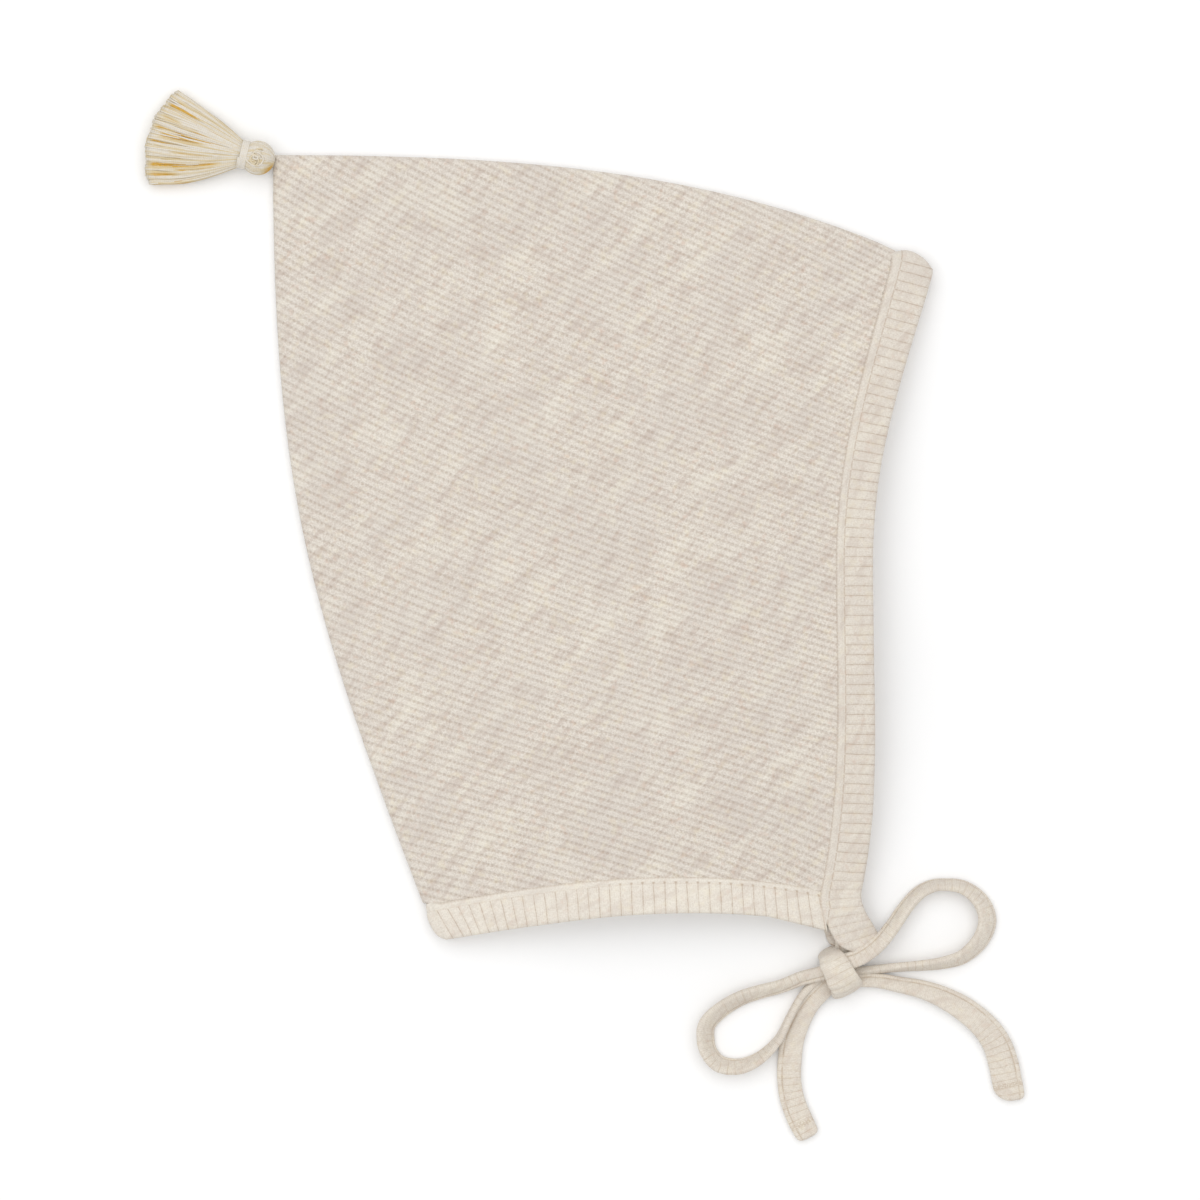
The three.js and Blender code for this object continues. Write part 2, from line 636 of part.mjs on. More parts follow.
// A lock of the skirt, from the middle of the binding to its cut end.
function tasselLock(index) {
  const share = index / (TASSEL_LOCKS - 1);
  const way = direction(TASSEL_SPREAD * (share - 0.5));
  const pitch = (TASSEL_SKIRT * THREE.MathUtils.degToRad(TASSEL_SPREAD)) / TASSEL_LOCKS;
  const halfWidth = (pitch * LOCK_OVERLAP) / 2;
  const shorter = CUT_UNEVEN[index % CUT_UNEVEN.length] + CUT_SLANT * (1 - share) ** 2;
  const start = (share - 0.5) * (TASSEL_NECK - 2 * halfWidth * LOCK[0].wide);
  const end = way.clone().multiplyScalar(TASSEL_SKIRT * (1 - shorter));
  const neckEnd = BINDING_LENGTH / TASSEL_SKIRT;
  const rings = LOCK.map(({ run, wide, deep, sink }) => {
    const flared = Math.max(run - neckEnd, 0) / (1 - neckEnd);
    const x = BINDING_PLACE + end.x * run;
    const y = start + (end.y - start) * flared;
    const height = (TASSEL_HEAD - sink * (TASSEL_HEAD - TASSEL_DEPTH)) / 2;
    const ring = [];
    for (let i = 0; i < LOCK_SIDES; i++) {
      const turn = (2 * Math.PI * i) / LOCK_SIDES;
      const across = Math.cos(turn) * wide * halfWidth;
      const up = (Math.sin(turn) * deep * TASSEL_DEPTH) / 2;
      ring.push(pressed(new THREE.Vector3(x - way.y * across, y + way.x * across, height + up)));
    }
    return ring;
  });
  return solidOf(sweep(rings));
}

function tassel() {
  const head = new THREE.SphereGeometry(TASSEL_HEAD / 2, HEAD_STEPS.around, HEAD_STEPS.down);
  head.translate(0, 0, TASSEL_HEAD / 2);
  const neckEnd = BINDING_PLACE + BINDING_LENGTH;
  const neck = new THREE.CylinderGeometry(TASSEL_NECK / 2, TASSEL_NECK / 2, neckEnd, NECK_SIDES);
  neck.rotateZ(-Math.PI / 2);
  neck.translate(neckEnd / 2, 0, TASSEL_HEAD / 2);
  const locks = Array.from({ length: TASSEL_LOCKS }, (_, index) => tasselLock(index));
  return geometryOf(fuse([solidOf(head), solidOf(neck), ...locks]));
}

function tasselBinding() {
  const inner = TASSEL_NECK / 2 + SEAM_GAP;
  const profile = [];
  for (let i = 0; i <= BINDING_STEPS.section; i++) {
    const turn = (2 * Math.PI * i) / BINDING_STEPS.section;
    const radius = inner + (BINDING_THREAD / 2) * (1 + Math.cos(turn));
    profile.push(new THREE.Vector2(radius, (BINDING_LENGTH / 2) * Math.sin(turn)));
  }
  const ring = new THREE.LatheGeometry(profile, BINDING_STEPS.around);
  ring.rotateZ(-Math.PI / 2);
  ring.translate(BINDING_PLACE, 0, TASSEL_HEAD / 2);
  return ring;
}

// The tassel in its place, with the ball of its head just clear of the hood's tip.
function tasselGroup() {
  const group = new THREE.Group();
  const above = TASSEL_HEAD / 2 - SEAM_HEIGHT;
  const clear = Math.sqrt((TASSEL_HEAD / 2 + SEAM_GAP) ** 2 - above ** 2);
  group.position.set(-clear, -TASSEL_DROP, 0);
  group.rotation.z = THREE.MathUtils.degToRad(TASSEL_HEADING);
  group.add(named("tassel", tassel(), thread));
  group.add(named("tassel_binding", tasselBinding(), thread));
  return group;
}

// The whole cap, with its origin in the middle of its box, on the surface that it lies on

const cap = new THREE.Group();
cap.add(named("hood_near", hoodPanel(1, NEAR_STEPS), jersey));
cap.add(named("hood_far", hoodPanel(-1, FAR_STEPS), jersey));
cap.add(named("face_band", faceBand(), rib));
cap.add(named("neck_band", neckBand(), rib));
cap.add(bow());
cap.add(tasselGroup());

cap.updateMatrixWorld(true);
const middle = new THREE.Box3().setFromObject(cap, true).getCenter(new THREE.Vector3());
cap.position.set(-middle.x, -middle.y, 0);

export default cap;
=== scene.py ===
import math

import bpy
import numpy as np
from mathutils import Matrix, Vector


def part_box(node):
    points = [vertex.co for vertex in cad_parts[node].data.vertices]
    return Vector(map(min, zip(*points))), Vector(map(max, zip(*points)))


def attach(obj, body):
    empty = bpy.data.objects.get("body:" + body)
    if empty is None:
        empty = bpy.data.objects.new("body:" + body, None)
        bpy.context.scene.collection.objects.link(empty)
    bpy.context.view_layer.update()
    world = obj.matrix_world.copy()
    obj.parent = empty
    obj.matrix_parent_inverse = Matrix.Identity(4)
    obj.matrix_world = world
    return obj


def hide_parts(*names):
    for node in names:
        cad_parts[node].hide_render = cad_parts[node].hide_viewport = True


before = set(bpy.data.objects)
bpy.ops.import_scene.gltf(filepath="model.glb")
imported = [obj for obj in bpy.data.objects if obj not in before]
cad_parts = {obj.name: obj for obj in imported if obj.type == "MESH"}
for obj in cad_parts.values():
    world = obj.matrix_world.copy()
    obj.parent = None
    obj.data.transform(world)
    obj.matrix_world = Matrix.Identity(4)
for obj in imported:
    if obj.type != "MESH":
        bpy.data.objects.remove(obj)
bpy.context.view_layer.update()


# The hood: two side panels of rib jersey in heather cream, cut so that the ribs run from the back
# down to the face, and sewn together along the ridge and the back. The cap lies on its side: the
# far panel is flat on the table, and the near one arches a little over it. Sizes are in
# millimetres.
HOOD_DEPTH = 162.0
HOOD_HEIGHT = 194.0
FABRIC = 1.2
SEAM_GAP = 0.3
SEAM_TOUCH = 0.03
SEAM_CREASE = 0.8
SEAM_HEIGHT = FABRIC + SEAM_CREASE / 2
PUFF = 12.0
PUFF_POWER = 2.4
CHIN_TUCK = 0.72
TUCK_POWER = 3
MOUTH_SWELL = 0.35
SWELL_REACH = 2.2

# Edges of the hood: share of the depth, share of the height, heading, and pull as a share of the
# chord.
RIDGE = [(0, 0, 0, 0.36), (1, 0.127, -23, 0.34)]
BACK = [(0, 0, -90, 0.43), (0.243, 1.008, -69, 0.43)]
FACE = [(1, 0.127, -104.5, 0.34), (0.903, 0.545, -90, 0.36), (0.880, 0.986, -101, 0.36)]
NECK = [(0.243, 1.008, 11.5, 0.3), (0.880, 0.986, -12, 0.36)]

RIB_PITCH = 1.86
RIB_DEPTH = 0.2
RIB_SAMPLES = 5
STITCH_PITCH = 1.2
BEAD_SHIFT = 0.233
OUTER_COLUMNS = 120
INNER_COLUMNS = 24

# Fall of the ribs below level, in degrees, at these distances from the back and below the ridge,
# and their mean fall.
MEAN_FALL = 22
FALL_ALONG = (0, 55, 110, 165)
FALL_DOWN = (0, 50, 100, 150, 200)
RIB_FALL = np.array(
    [
        [30.7, 25.8, 24.9, 27.7],
        [27.7, 23.7, 22.4, 24.9],
        [25.2, 22.2, 19.2, 18.7],
        [19.2, 17.7, 16.2, 16.6],
        [9.0, 12.5, 20.0, 38.0],
    ]
)

hood_low, hood_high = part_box("hood_near")
HOOD_TIP = 1000 * np.array([hood_low.x, hood_high.y, 0.0])


def heading(degrees):
    """The unit vector at an angle from +X."""
    turn = np.radians(degrees)
    return np.stack([np.cos(turn), np.sin(turn)], -1)


def edge(rows):
    """A curve through the rows of a table, as its points and the length up to each. Between two
    rows it is a cubic Bezier curve whose handles lie along the headings."""
    t = np.linspace(0, 1, 400)[:, None]
    stretches = []
    for row, following in zip(rows, rows[1:]):
        start, end = (np.array([HOOD_DEPTH * r[0], -HOOD_HEIGHT * r[1]]) for r in (row, following))
        chord = np.hypot(*(end - start))
        leave = start + row[3] * chord * heading(row[2])
        reach = end - following[3] * chord * heading(following[2])
        curve = (1 - t) ** 3 * start + 3 * (1 - t) ** 2 * t * leave
        stretches.append(curve + 3 * (1 - t) * t**2 * reach + t**3 * end)
    points = np.concatenate(stretches)
    steps = np.hypot(*np.diff(points, axis=0).T)
    return points, np.concatenate([[0], np.cumsum(steps)])


def along(curve, share):
    """The point of a curve at a share of its length."""
    points, length = curve
    at = np.asarray(share) * length[-1]
    return np.stack([np.interp(at, length, points[:, k]) for k in (0, 1)], -1)


ridge, back, face, neck = edge(RIDGE), edge(BACK), edge(FACE), edge(NECK)


def hood_plan(u, v):
    """Plan of the hood stretched between its four edges: the two pairs of opposite edges blended
    across, less the plane blend of the corners. u runs from the back to the face, v down."""
    p, q = u[..., None], v[..., None]
    edges = (1 - q) * along(ridge, u) + q * along(neck, u)
    edges = edges + (1 - p) * along(back, v) + p * along(face, v)
    tip, crown, nape, chin = along(ridge, 0), along(ridge, 1), along(neck, 0), along(neck, 1)
    return edges - (1 - p) * (1 - q) * tip - p * (1 - q) * crown - (1 - p) * q * nape - p * q * chin


def hood_shares(x, y):
    """u and v of points of the plan, found by Newton's steps."""
    u, v = np.clip(x / HOOD_DEPTH, 0, 1), np.clip(-y / HOOD_HEIGHT, 0, 1)
    for _ in range(9):
        du, dv = np.where(u > 0.5, -1e-3, 1e-3), np.where(v > 0.5, -1e-3, 1e-3)
        here = hood_plan(u, v)
        by_u = (hood_plan(u + du, v) - here) / du[..., None]
        by_v = (hood_plan(u, v + dv) - here) / dv[..., None]
        miss = np.stack([x, y], -1) - here
        area = by_u[..., 0] * by_v[..., 1] - by_u[..., 1] * by_v[..., 0]
        u = np.clip(u + (miss[..., 0] * by_v[..., 1] - miss[..., 1] * by_v[..., 0]) / area, 0, 1)
        v = np.clip(v + (by_u[..., 0] * miss[..., 1] - by_u[..., 1] * miss[..., 0]) / area, 0, 1)
    return u, v


def lift(u, v):
    """Height of the near panel over the flat far one: it rises fast from the back and the ridge,
    levels out, and is held down near the chin, where the ties pull."""
    held = 1 - CHIN_TUCK * (u * v) ** TUCK_POWER
    return PUFF * (1 - (1 - u) ** PUFF_POWER) * (1 - (1 - v) ** PUFF_POWER) * held


def rib_fall(x, y):
    """Fall of the ribs at points of the plan, read between the rows and columns of the table."""
    across = [np.interp(x, FALL_ALONG, row) for row in RIB_FALL]
    place = np.clip(-y / FALL_DOWN[1], 0, len(FALL_DOWN) - 1.001)
    row = place.astype(int)
    stack = np.stack(across)
    above = np.take_along_axis(stack, row[None], 0)[0]
    below = np.take_along_axis(stack, row[None] + 1, 0)[0]
    return above + (below - above) * (place - row)


def rib_lines():
    """Lines that run with the ribs, RIB_SAMPLES to a rib, as their heights on a row of stations.
    They are spaced by the pitch at the middle station and followed both ways down and up the ribs'
    fall."""
    stations = np.arange(-3.0, HOOD_DEPTH + 5)
    middle = 83
    level = np.linspace(25, -215, 1500)
    fall = rib_fall(np.full(level.shape, stations[middle]), level)
    steps = np.cos(np.radians(fall[:-1])) * -np.diff(level) / RIB_PITCH
    count = np.concatenate([[0], np.cumsum(steps)])
    number = np.arange(0, count[-1], 1 / RIB_SAMPLES)
    lines = np.empty((len(number), len(stations)))
    lines[:, middle] = np.interp(number, count, level)
    for step, last in ((1, len(stations) - 1), (-1, 0)):
        for k in range(middle, last, step):
            fall = rib_fall(np.full(len(number), stations[k]), lines[:, k])
            lines[:, k + step] = lines[:, k] - step * np.tan(np.radians(fall))
    return stations, lines, number


def hood_rows(columns):
    """Points of the hood's plan along its rib lines, from where each line enters at the back or the
    ridge to where it leaves at the face or the neck. The points crowd together near both ends."""
    stations, lines, number = rib_lines()
    (ridge_x, ridge_y), (back_x, back_y) = ridge[0].T, back[0].T
    (face_x, face_y), (neck_x, neck_y) = face[0].T, neck[0].T
    inside = np.minimum.reduce(
        [
            np.interp(stations, ridge_x, ridge_y) - lines,
            stations - np.interp(-lines, -back_y, back_x),
            np.interp(-lines, -face_y, face_x) - stations,
            lines - np.interp(stations, neck_x, neck_y),
        ]
    )
    kept = (inside > 0).sum(1) > 2
    lines, inside, number = lines[kept], inside[kept], number[kept]
    rows = np.arange(len(lines))
    first = np.argmax(inside > 0, axis=1)
    last = inside.shape[1] - 1 - np.argmax(inside[:, ::-1] > 0, axis=1)
    before, after = inside[rows, first - 1], inside[rows, last + 1]
    start = stations[first] - inside[rows, first] / (inside[rows, first] - before)
    end = stations[last] + inside[rows, last] / (inside[rows, last] - after)
    share = np.linspace(0, 1, columns)
    share = share - 0.9 * np.sin(2 * np.pi * share) / (2 * np.pi)
    x = start[:, None] + (end - start)[:, None] * share
    place = x - stations[0]
    k = np.clip(place.astype(int), 0, len(stations) - 2)
    y = lines[rows[:, None], k] * (k + 1 - place) + lines[rows[:, None], k + 1] * (place - k)
    return x, y, np.repeat(number[:, None], columns, 1)


def closed(places):
    """Places on the cloth with their first column again at the end, where a ring closes."""
    return np.concatenate([places, places[:, :1]], 1)


def ring_body(name, rings, pattern, body_material):
    """A closed body from rings of points: quads from each ring to the next, and a fan to the middle
    of the first and the last ring. pattern gives each point's place on the cloth, with one column
    more than the rings, so that it doesn't jump where a ring closes."""
    count, sides = rings.shape[:2]
    k, i = np.meshgrid(np.arange(count - 1), np.arange(sides), indexing="ij")
    j = (i + 1) % sides
    corners = [(k, i, i), (k, j, i + 1), (k + 1, j, i + 1), (k + 1, i, i)]
    quads = np.stack([row * sides + column for row, column, _ in corners], -1).reshape(-1, 4)
    quad_places = np.stack([pattern[row, place] for row, _, place in corners], 2).reshape(-1, 4, 2)
    around = np.arange(sides)
    following = (around + 1) % sides
    hub, last = np.full(sides, count * sides), (count - 1) * sides
    start_fan = np.stack([hub, following, around], -1)
    end_fan = np.stack([hub + 1, last + around, last + following], -1)
    start_places = np.stack([pattern[0, :-1], pattern[0, 1:], pattern[0, :-1]], 1)
    end_places = np.stack([pattern[-1, :-1], pattern[-1, :-1], pattern[-1, 1:]], 1)
    parts = [(quads, quad_places), (start_fan, start_places), (end_fan, end_places)]
    points = np.concatenate([rings.reshape(-1, 3), [rings[0].mean(0)], [rings[-1].mean(0)]])
    triangles = np.concatenate([quads[:, [0, 1, 2]], quads[:, [0, 2, 3]], start_fan, end_fan])
    a, b, c = points[triangles[:, 0]], points[triangles[:, 1]], points[triangles[:, 2]]
    inside_out = np.einsum("ij,ij->", a, np.cross(b, c)) < 0
    if inside_out:
        parts = [(faces[:, ::-1], places[:, ::-1]) for faces, places in parts]
    faces = [face for part, _ in parts for face in part.tolist()]
    places = np.concatenate([places.reshape(-1, 2) for _, places in parts])
    return cloth_object(name, points, faces, places, body_material)


def cloth_object(name, points, faces, places, body_material):
    """A smooth object of the object's one rigid body, from points in millimetres from the hood's
    tip, faces, and the place on the cloth of each corner of each face."""
    mesh = bpy.data.meshes.new(name)
    mesh.from_pydata(((points + HOOD_TIP) / 1000).tolist(), [], faces)
    mesh.polygons.foreach_set("use_smooth", np.ones(len(faces), bool))
    layer = mesh.uv_layers.new(name="pattern")
    layer.uv.foreach_set("vector", np.asarray(places, np.float32).ravel())
    mesh.materials.append(body_material)
    mesh.update()
    made = bpy.data.objects.new(name, mesh)
    bpy.context.scene.collection.objects.link(made)
    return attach(made, "root")


class Recipe:
    """The nodes of one material. Each call adds a node, links or sets what goes into it, and hands
    back what comes out."""

    def __init__(self, name):
        self.material = bpy.data.materials.new(name)
        self.material.use_nodes = True
        self.nodes = self.material.node_tree.nodes
        self.surface = self.nodes["Principled BSDF"]

    def put(self, socket, value):
        if isinstance(value, bpy.types.NodeSocket):
            self.material.node_tree.links.new(value, socket)
        else:
            socket.default_value = value

    def node(self, kind, *values, **settings):
        made = self.nodes.new("ShaderNode" + kind)
        for name, value in settings.items():
            setattr(made, name, value)
        for socket, value in zip(made.inputs, values):
            self.put(socket, value)
        return made

    def math(self, operation, a, b=0.0):
        return self.node("Math", a, b, operation=operation).outputs[0]

    def times(self, product, *values):
        """The product of several values."""
        for value in values:
            product = self.math("MULTIPLY", product, value)
        return product

    def away(self, value, middle):
        """How far a value is from a middle one, to either side."""
        return self.math("ABSOLUTE", self.math("SUBTRACT", value, middle))

    def ramp(self, value, low, high, start=0.0, end=1.0):
        """Turns smoothly from start, where the value is low, to end, where it is high."""
        made = self.node("MapRange", value, low, high, start, end, interpolation_type="SMOOTHSTEP")
        return made.outputs[0]

    def noise(self, place, scale, detail=2.0):
        made = self.node("TexNoise", place)
        made.inputs["Scale"].default_value = scale
        made.inputs["Detail"].default_value = detail
        return made.outputs[0]

    def mix(self, share, a, b, blend="MIX"):
        made = self.node("Mix", data_type="RGBA", blend_type=blend)
        for index, value in ((0, share), (6, a), (7, b)):
            self.put(made.inputs[index], value)
        return made.outputs[2]

    def line(self, value, width):
        """1 where value is a whole number, falling to 0 at half the width on either side."""
        return self.ramp(self.away(self.math("FRACT", value), 0.5), 0.5 - width / 2, 0.5)

    def cloth_place(self):
        """The two coordinates of the place on the cloth, and the place in the object."""
        uv = self.node("UVMap", uv_map="pattern").outputs[0]
        split = self.node("SeparateXYZ", uv)
        return split.outputs[0], split.outputs[1], self.node("TexCoord").outputs["Object"]

    def finish(self, colour, height, distance, roughness, sheen):
        bump = self.node("Bump")
        bump.inputs["Distance"].default_value = distance
        self.put(bump.inputs["Height"], height)
        self.put(self.surface.inputs["Base Color"], colour)
        self.put(self.surface.inputs["Normal"], bump.outputs[0])
        self.surface.inputs["Roughness"].default_value = roughness
        self.surface.inputs["Sheen Weight"].default_value = sheen
        self.surface.inputs["Sheen Roughness"].default_value = 0.5
        self.surface.inputs["Specular IOR Level"].default_value = 0.2
        return self.material


def paint(red, green, blue):
    """A colour given in the 0 to 255 of a colour chart, as the light that it reflects."""
    share = np.array([red, green, blue]) / 255
    light = np.where(share > 0.04045, ((share + 0.055) / 1.055) ** 2.4, share / 12.92)
    return (*light.tolist(), 1.0)


def heather(cloth, run, across, place):
    """Heather cream: pale fibre with flecks, streaks of pinkish grey along the rows of stitches
    that run across the ribs, specks of rose and straw, and faint clouds. run is the way along the
    ribs and across the way over them."""
    slanted = cloth.math("ADD", run, cloth.times(across, 0.4))

    def drawn_out(by_run, by_across, detail):
        """Noise drawn out into streaks, so many to a millimetre along the ribs and over them."""
        stretched = cloth.node(
            "CombineXYZ", cloth.times(slanted, by_run), cloth.times(across, by_across), 0.0
        )
        return cloth.noise(stretched.outputs[0], 1.0, detail)

    streak = drawn_out(0.5, 0.15, 2.0)
    haze = drawn_out(0.17, 0.05, 3.0)
    fleck = cloth.noise(place, 2400.0, 3.0)
    rose = cloth.noise(place, 520.0)
    elsewhere = cloth.node("VectorMath", place, (0.37, 0.11, 0.53), operation="ADD").outputs[0]
    straw = cloth.noise(elsewhere, 430.0)
    cloud = cloth.noise(place, 60.0)
    colour = cloth.mix(cloth.ramp(fleck, 0.3, 0.7), paint(227, 220, 210), paint(205, 196, 185))
    for value, low, high, most, shade in (
        (haze, 0.5, 0.28, 0.36, (236, 231, 216)),
        (haze, 0.5, 0.72, 0.4, (201, 190, 180)),
        (streak, 0.46, 0.74, 0.52, (190, 174, 163)),
        (rose, 0.55, 0.8, 0.5, (206, 180, 163)),
        (straw, 0.52, 0.75, 0.34, (226, 215, 188)),
        (cloud, 0.4, 0.7, 0.25, (202, 194, 187)),
    ):
        colour = cloth.mix(cloth.ramp(value, low, high, 0.0, most), colour, paint(*shade))
    return colour, fleck


def jersey_cloth():
    """Rib jersey: pale ribs, and soft furrows between them painted darker as painted shade, in
    which the stitches show as darker beads, here more and there less."""
    cloth = Recipe("heather_rib_jersey")
    run, rib, place = cloth.cloth_place()
    colour, fleck = heather(cloth, run, cloth.times(rib, RIB_PITCH), place)
    bead = cloth.line(cloth.math("ADD", cloth.math("DIVIDE", run, STITCH_PITCH), BEAD_SHIFT), 0.9)
    # A noise that makes the painted furrow shade stronger here and weaker there.
    patchy_furrow_shade = cloth.ramp(cloth.noise(place, 380.0), 0.35, 0.65, 0.45, 1.0)
    # Painted shade in the furrows between the ribs, beaded at the stitches.
    dark = cloth.times(cloth.line(rib, 0.55), cloth.ramp(bead, 0.0, 1.0, 0.5, 1.0))
    colour = cloth.mix(cloth.times(dark, patchy_furrow_shade, 0.42), colour, paint(166, 143, 122))
    height = cloth.math("SUBTRACT", cloth.times(fleck, 0.4), dark)
    return cloth.finish(colour, height, 0.00016, 0.95, 0.2)


def hood_panel(name, side, body_material):
    """A side panel: its outer skin from seam to mouth along each rib line, and its inner skin back.
    The outer skin turns in a quarter round into the seam along the back and the ridge, and the near
    one swells a little where the bindings close on it. The ribs stand out of both skins."""
    x, y, number = hood_rows(OUTER_COLUMNS)
    inner = np.linspace(OUTER_COLUMNS - 1, 0, INNER_COLUMNS + 1).astype(int)[:-1]
    u, v = hood_shares(x, y)
    depth = np.hypot(*np.moveaxis(along(face, v) - along(back, v), -1, 0))
    height = np.hypot(*np.moveaxis(along(neck, u) - along(ridge, u), -1, 0))
    turn = [1 - np.clip(from_seam / SEAM_HEIGHT, 0, 1) for from_seam in (u * depth, v * height)]
    roll = np.sqrt(1 - turn[0] ** 2) * np.sqrt(1 - turn[1] ** 2)
    raised = lift(u, v) if side > 0 else 0 * u
    skin = SEAM_TOUCH + (SEAM_HEIGHT - SEAM_TOUCH) * roll
    flat = np.maximum(skin - FABRIC, SEAM_TOUCH)
    ribs = RIB_DEPTH * (np.abs(np.sin(np.pi * number)) ** 0.6 - 1) * roll
    from_mouth = np.minimum((1 - u) * depth, (1 - v) * height)
    swell = MOUTH_SWELL * np.exp(-((from_mouth / SWELL_REACH) ** 2)) * roll
    outer_height = SEAM_HEIGHT + side * (skin + (ribs + swell if side > 0 else 0)) + raised
    inner_height = SEAM_HEIGHT + side * (flat - ribs) + raised
    outer = np.stack([x, y, outer_height], -1)
    inside = np.stack([x, y, inner_height], -1)[:, inner]
    fall = np.radians(MEAN_FALL)
    places = np.stack([x * np.cos(fall) - y * np.sin(fall), number], -1)
    pattern = closed(np.concatenate([places, places[:, inner]], 1))
    return ring_body(name, np.concatenate([outer, inside], 1), pattern, body_material)


jersey = jersey_cloth()
near_panel = hood_panel("near_panel", 1, jersey)
far_panel = hood_panel("far_panel", -1, jersey)
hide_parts("hood_near")
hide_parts("hood_far")


# The bindings: strips of wider rib knit, folded double over the edge of the hood and stitched down
# beside a raised welt. Each runs round its opening from the far side over a fold to the near side.
FACE_BAND_WIDTH = 10.8
NECK_BAND_WIDTH = 10.0
FACE_RIB = 2.55
NECK_RIB = 2.86
FACE_WELT = 1.6
NECK_WELT = 0.9
BAND_THICK = 2.0
BAND_CREASE = 0.6
BAND_SETTLE = 0.5
BAND_SETTLED = 0.25
BAND_END = 2.6
WELT_RISE = 0.12
LAP = 0.8
FURROW_DEPTH = 0.13
FURROW_WIDTH = 0.4
FURROW_SHADE = 0.3827
DOT_SHADE = 0.5777
INNER_ROUND = 5.8
OUTER_ROUND = 0.8
SINK_FROM = 0.94
SINK_OVER = 0.06
FAR = 99.0
STATION_STEP = 0.28
FOLD_HEIGHT = BAND_THICK + BAND_CREASE / 2
FOLD_MIDDLE = (BAND_THICK + BAND_CREASE) / 2
TIE_CORNER = [(0.909, 1.063, -70, 0.36)]

# Heading across the bindings at shares of their seams: the neck's from the nape, the face's near
# the chin.
NECK_LEAN = np.array([(0, -69), (0.12, -78), (0.5, -90), (0.9, -87), (1, -80)], float)
FACE_LEAN = np.array(
    [(0.80, -2.1), (0.85, -3.6), (0.88, -3.6), (0.91, 0.3), (0.94, 5.4), (0.97, 12.1), (1, 18.6)]
)

# How broad the bindings lie, as shares of their widths, at shares of their seams.
FACE_BREADTH = np.array(
    [
        (0, 1), (0.06, 0.98), (0.15, 0.93), (0.3, 0.87), (0.6, 0.86),
        (0.75, 0.91), (0.8, 0.94), (0.91, 0.953), (0.94, 0.98), (1, 0.99),
    ]
)
NECK_BREADTH = np.array([(0, 0.94), (0.3, 0.96), (0.6, 0.92), (0.86, 0.88), (1, 1.06)])


def band_section(width, welt):
    """Half round at the outer edge, a flat top with a low crown, a shallow groove, the welt, and a
    quarter round down on to the hood, as distances from the seam and out of the strip's middle."""
    half = BAND_THICK / 2
    turn = np.linspace(-np.pi / 2, np.pi / 2, 9)
    edge_a, edge_b = width - half + half * np.cos(turn), half * np.sin(turn)
    top_a = np.linspace(width - half, LAP, 34)[1:-1]
    crown = 0.15 * np.sin(np.pi * np.clip((top_a - welt) / (width - welt), 0, 1))
    raised = WELT_RISE * np.sqrt(np.clip(np.sin(np.pi * np.clip(top_a / welt, 0, 1)), 0, 1))
    groove = 0.08 * np.exp(-(((top_a - welt - 0.1) / 0.3) ** 2))
    lap = np.linspace(0, np.pi / 2, 8)
    lap_a, lap_b = LAP - 1.2 * np.sin(lap), (half + 0.05) * np.cos(lap) ** 0.8
    under_a = np.linspace(0.5, width - half, 7)[:-1]
    a = np.concatenate([under_a, edge_a, top_a, lap_a])
    b = np.concatenate([np.full(6, -half), edge_b, half + crown + raised - groove, lap_b])
    return a, b


def rounding(reach, radius):
    """How far a corner of a radius has drawn in at a reach from the end."""
    left = radius - np.clip(reach, 0, radius)
    return radius - np.sqrt(radius**2 - left**2)


def tangent(curve, share):
    """The way that a curve runs at a share of its length."""
    step = along(curve, np.minimum(share + 1e-3, 1)) - along(curve, np.maximum(share - 1e-3, 0))
    return step / np.linalg.norm(step, axis=-1, keepdims=True)


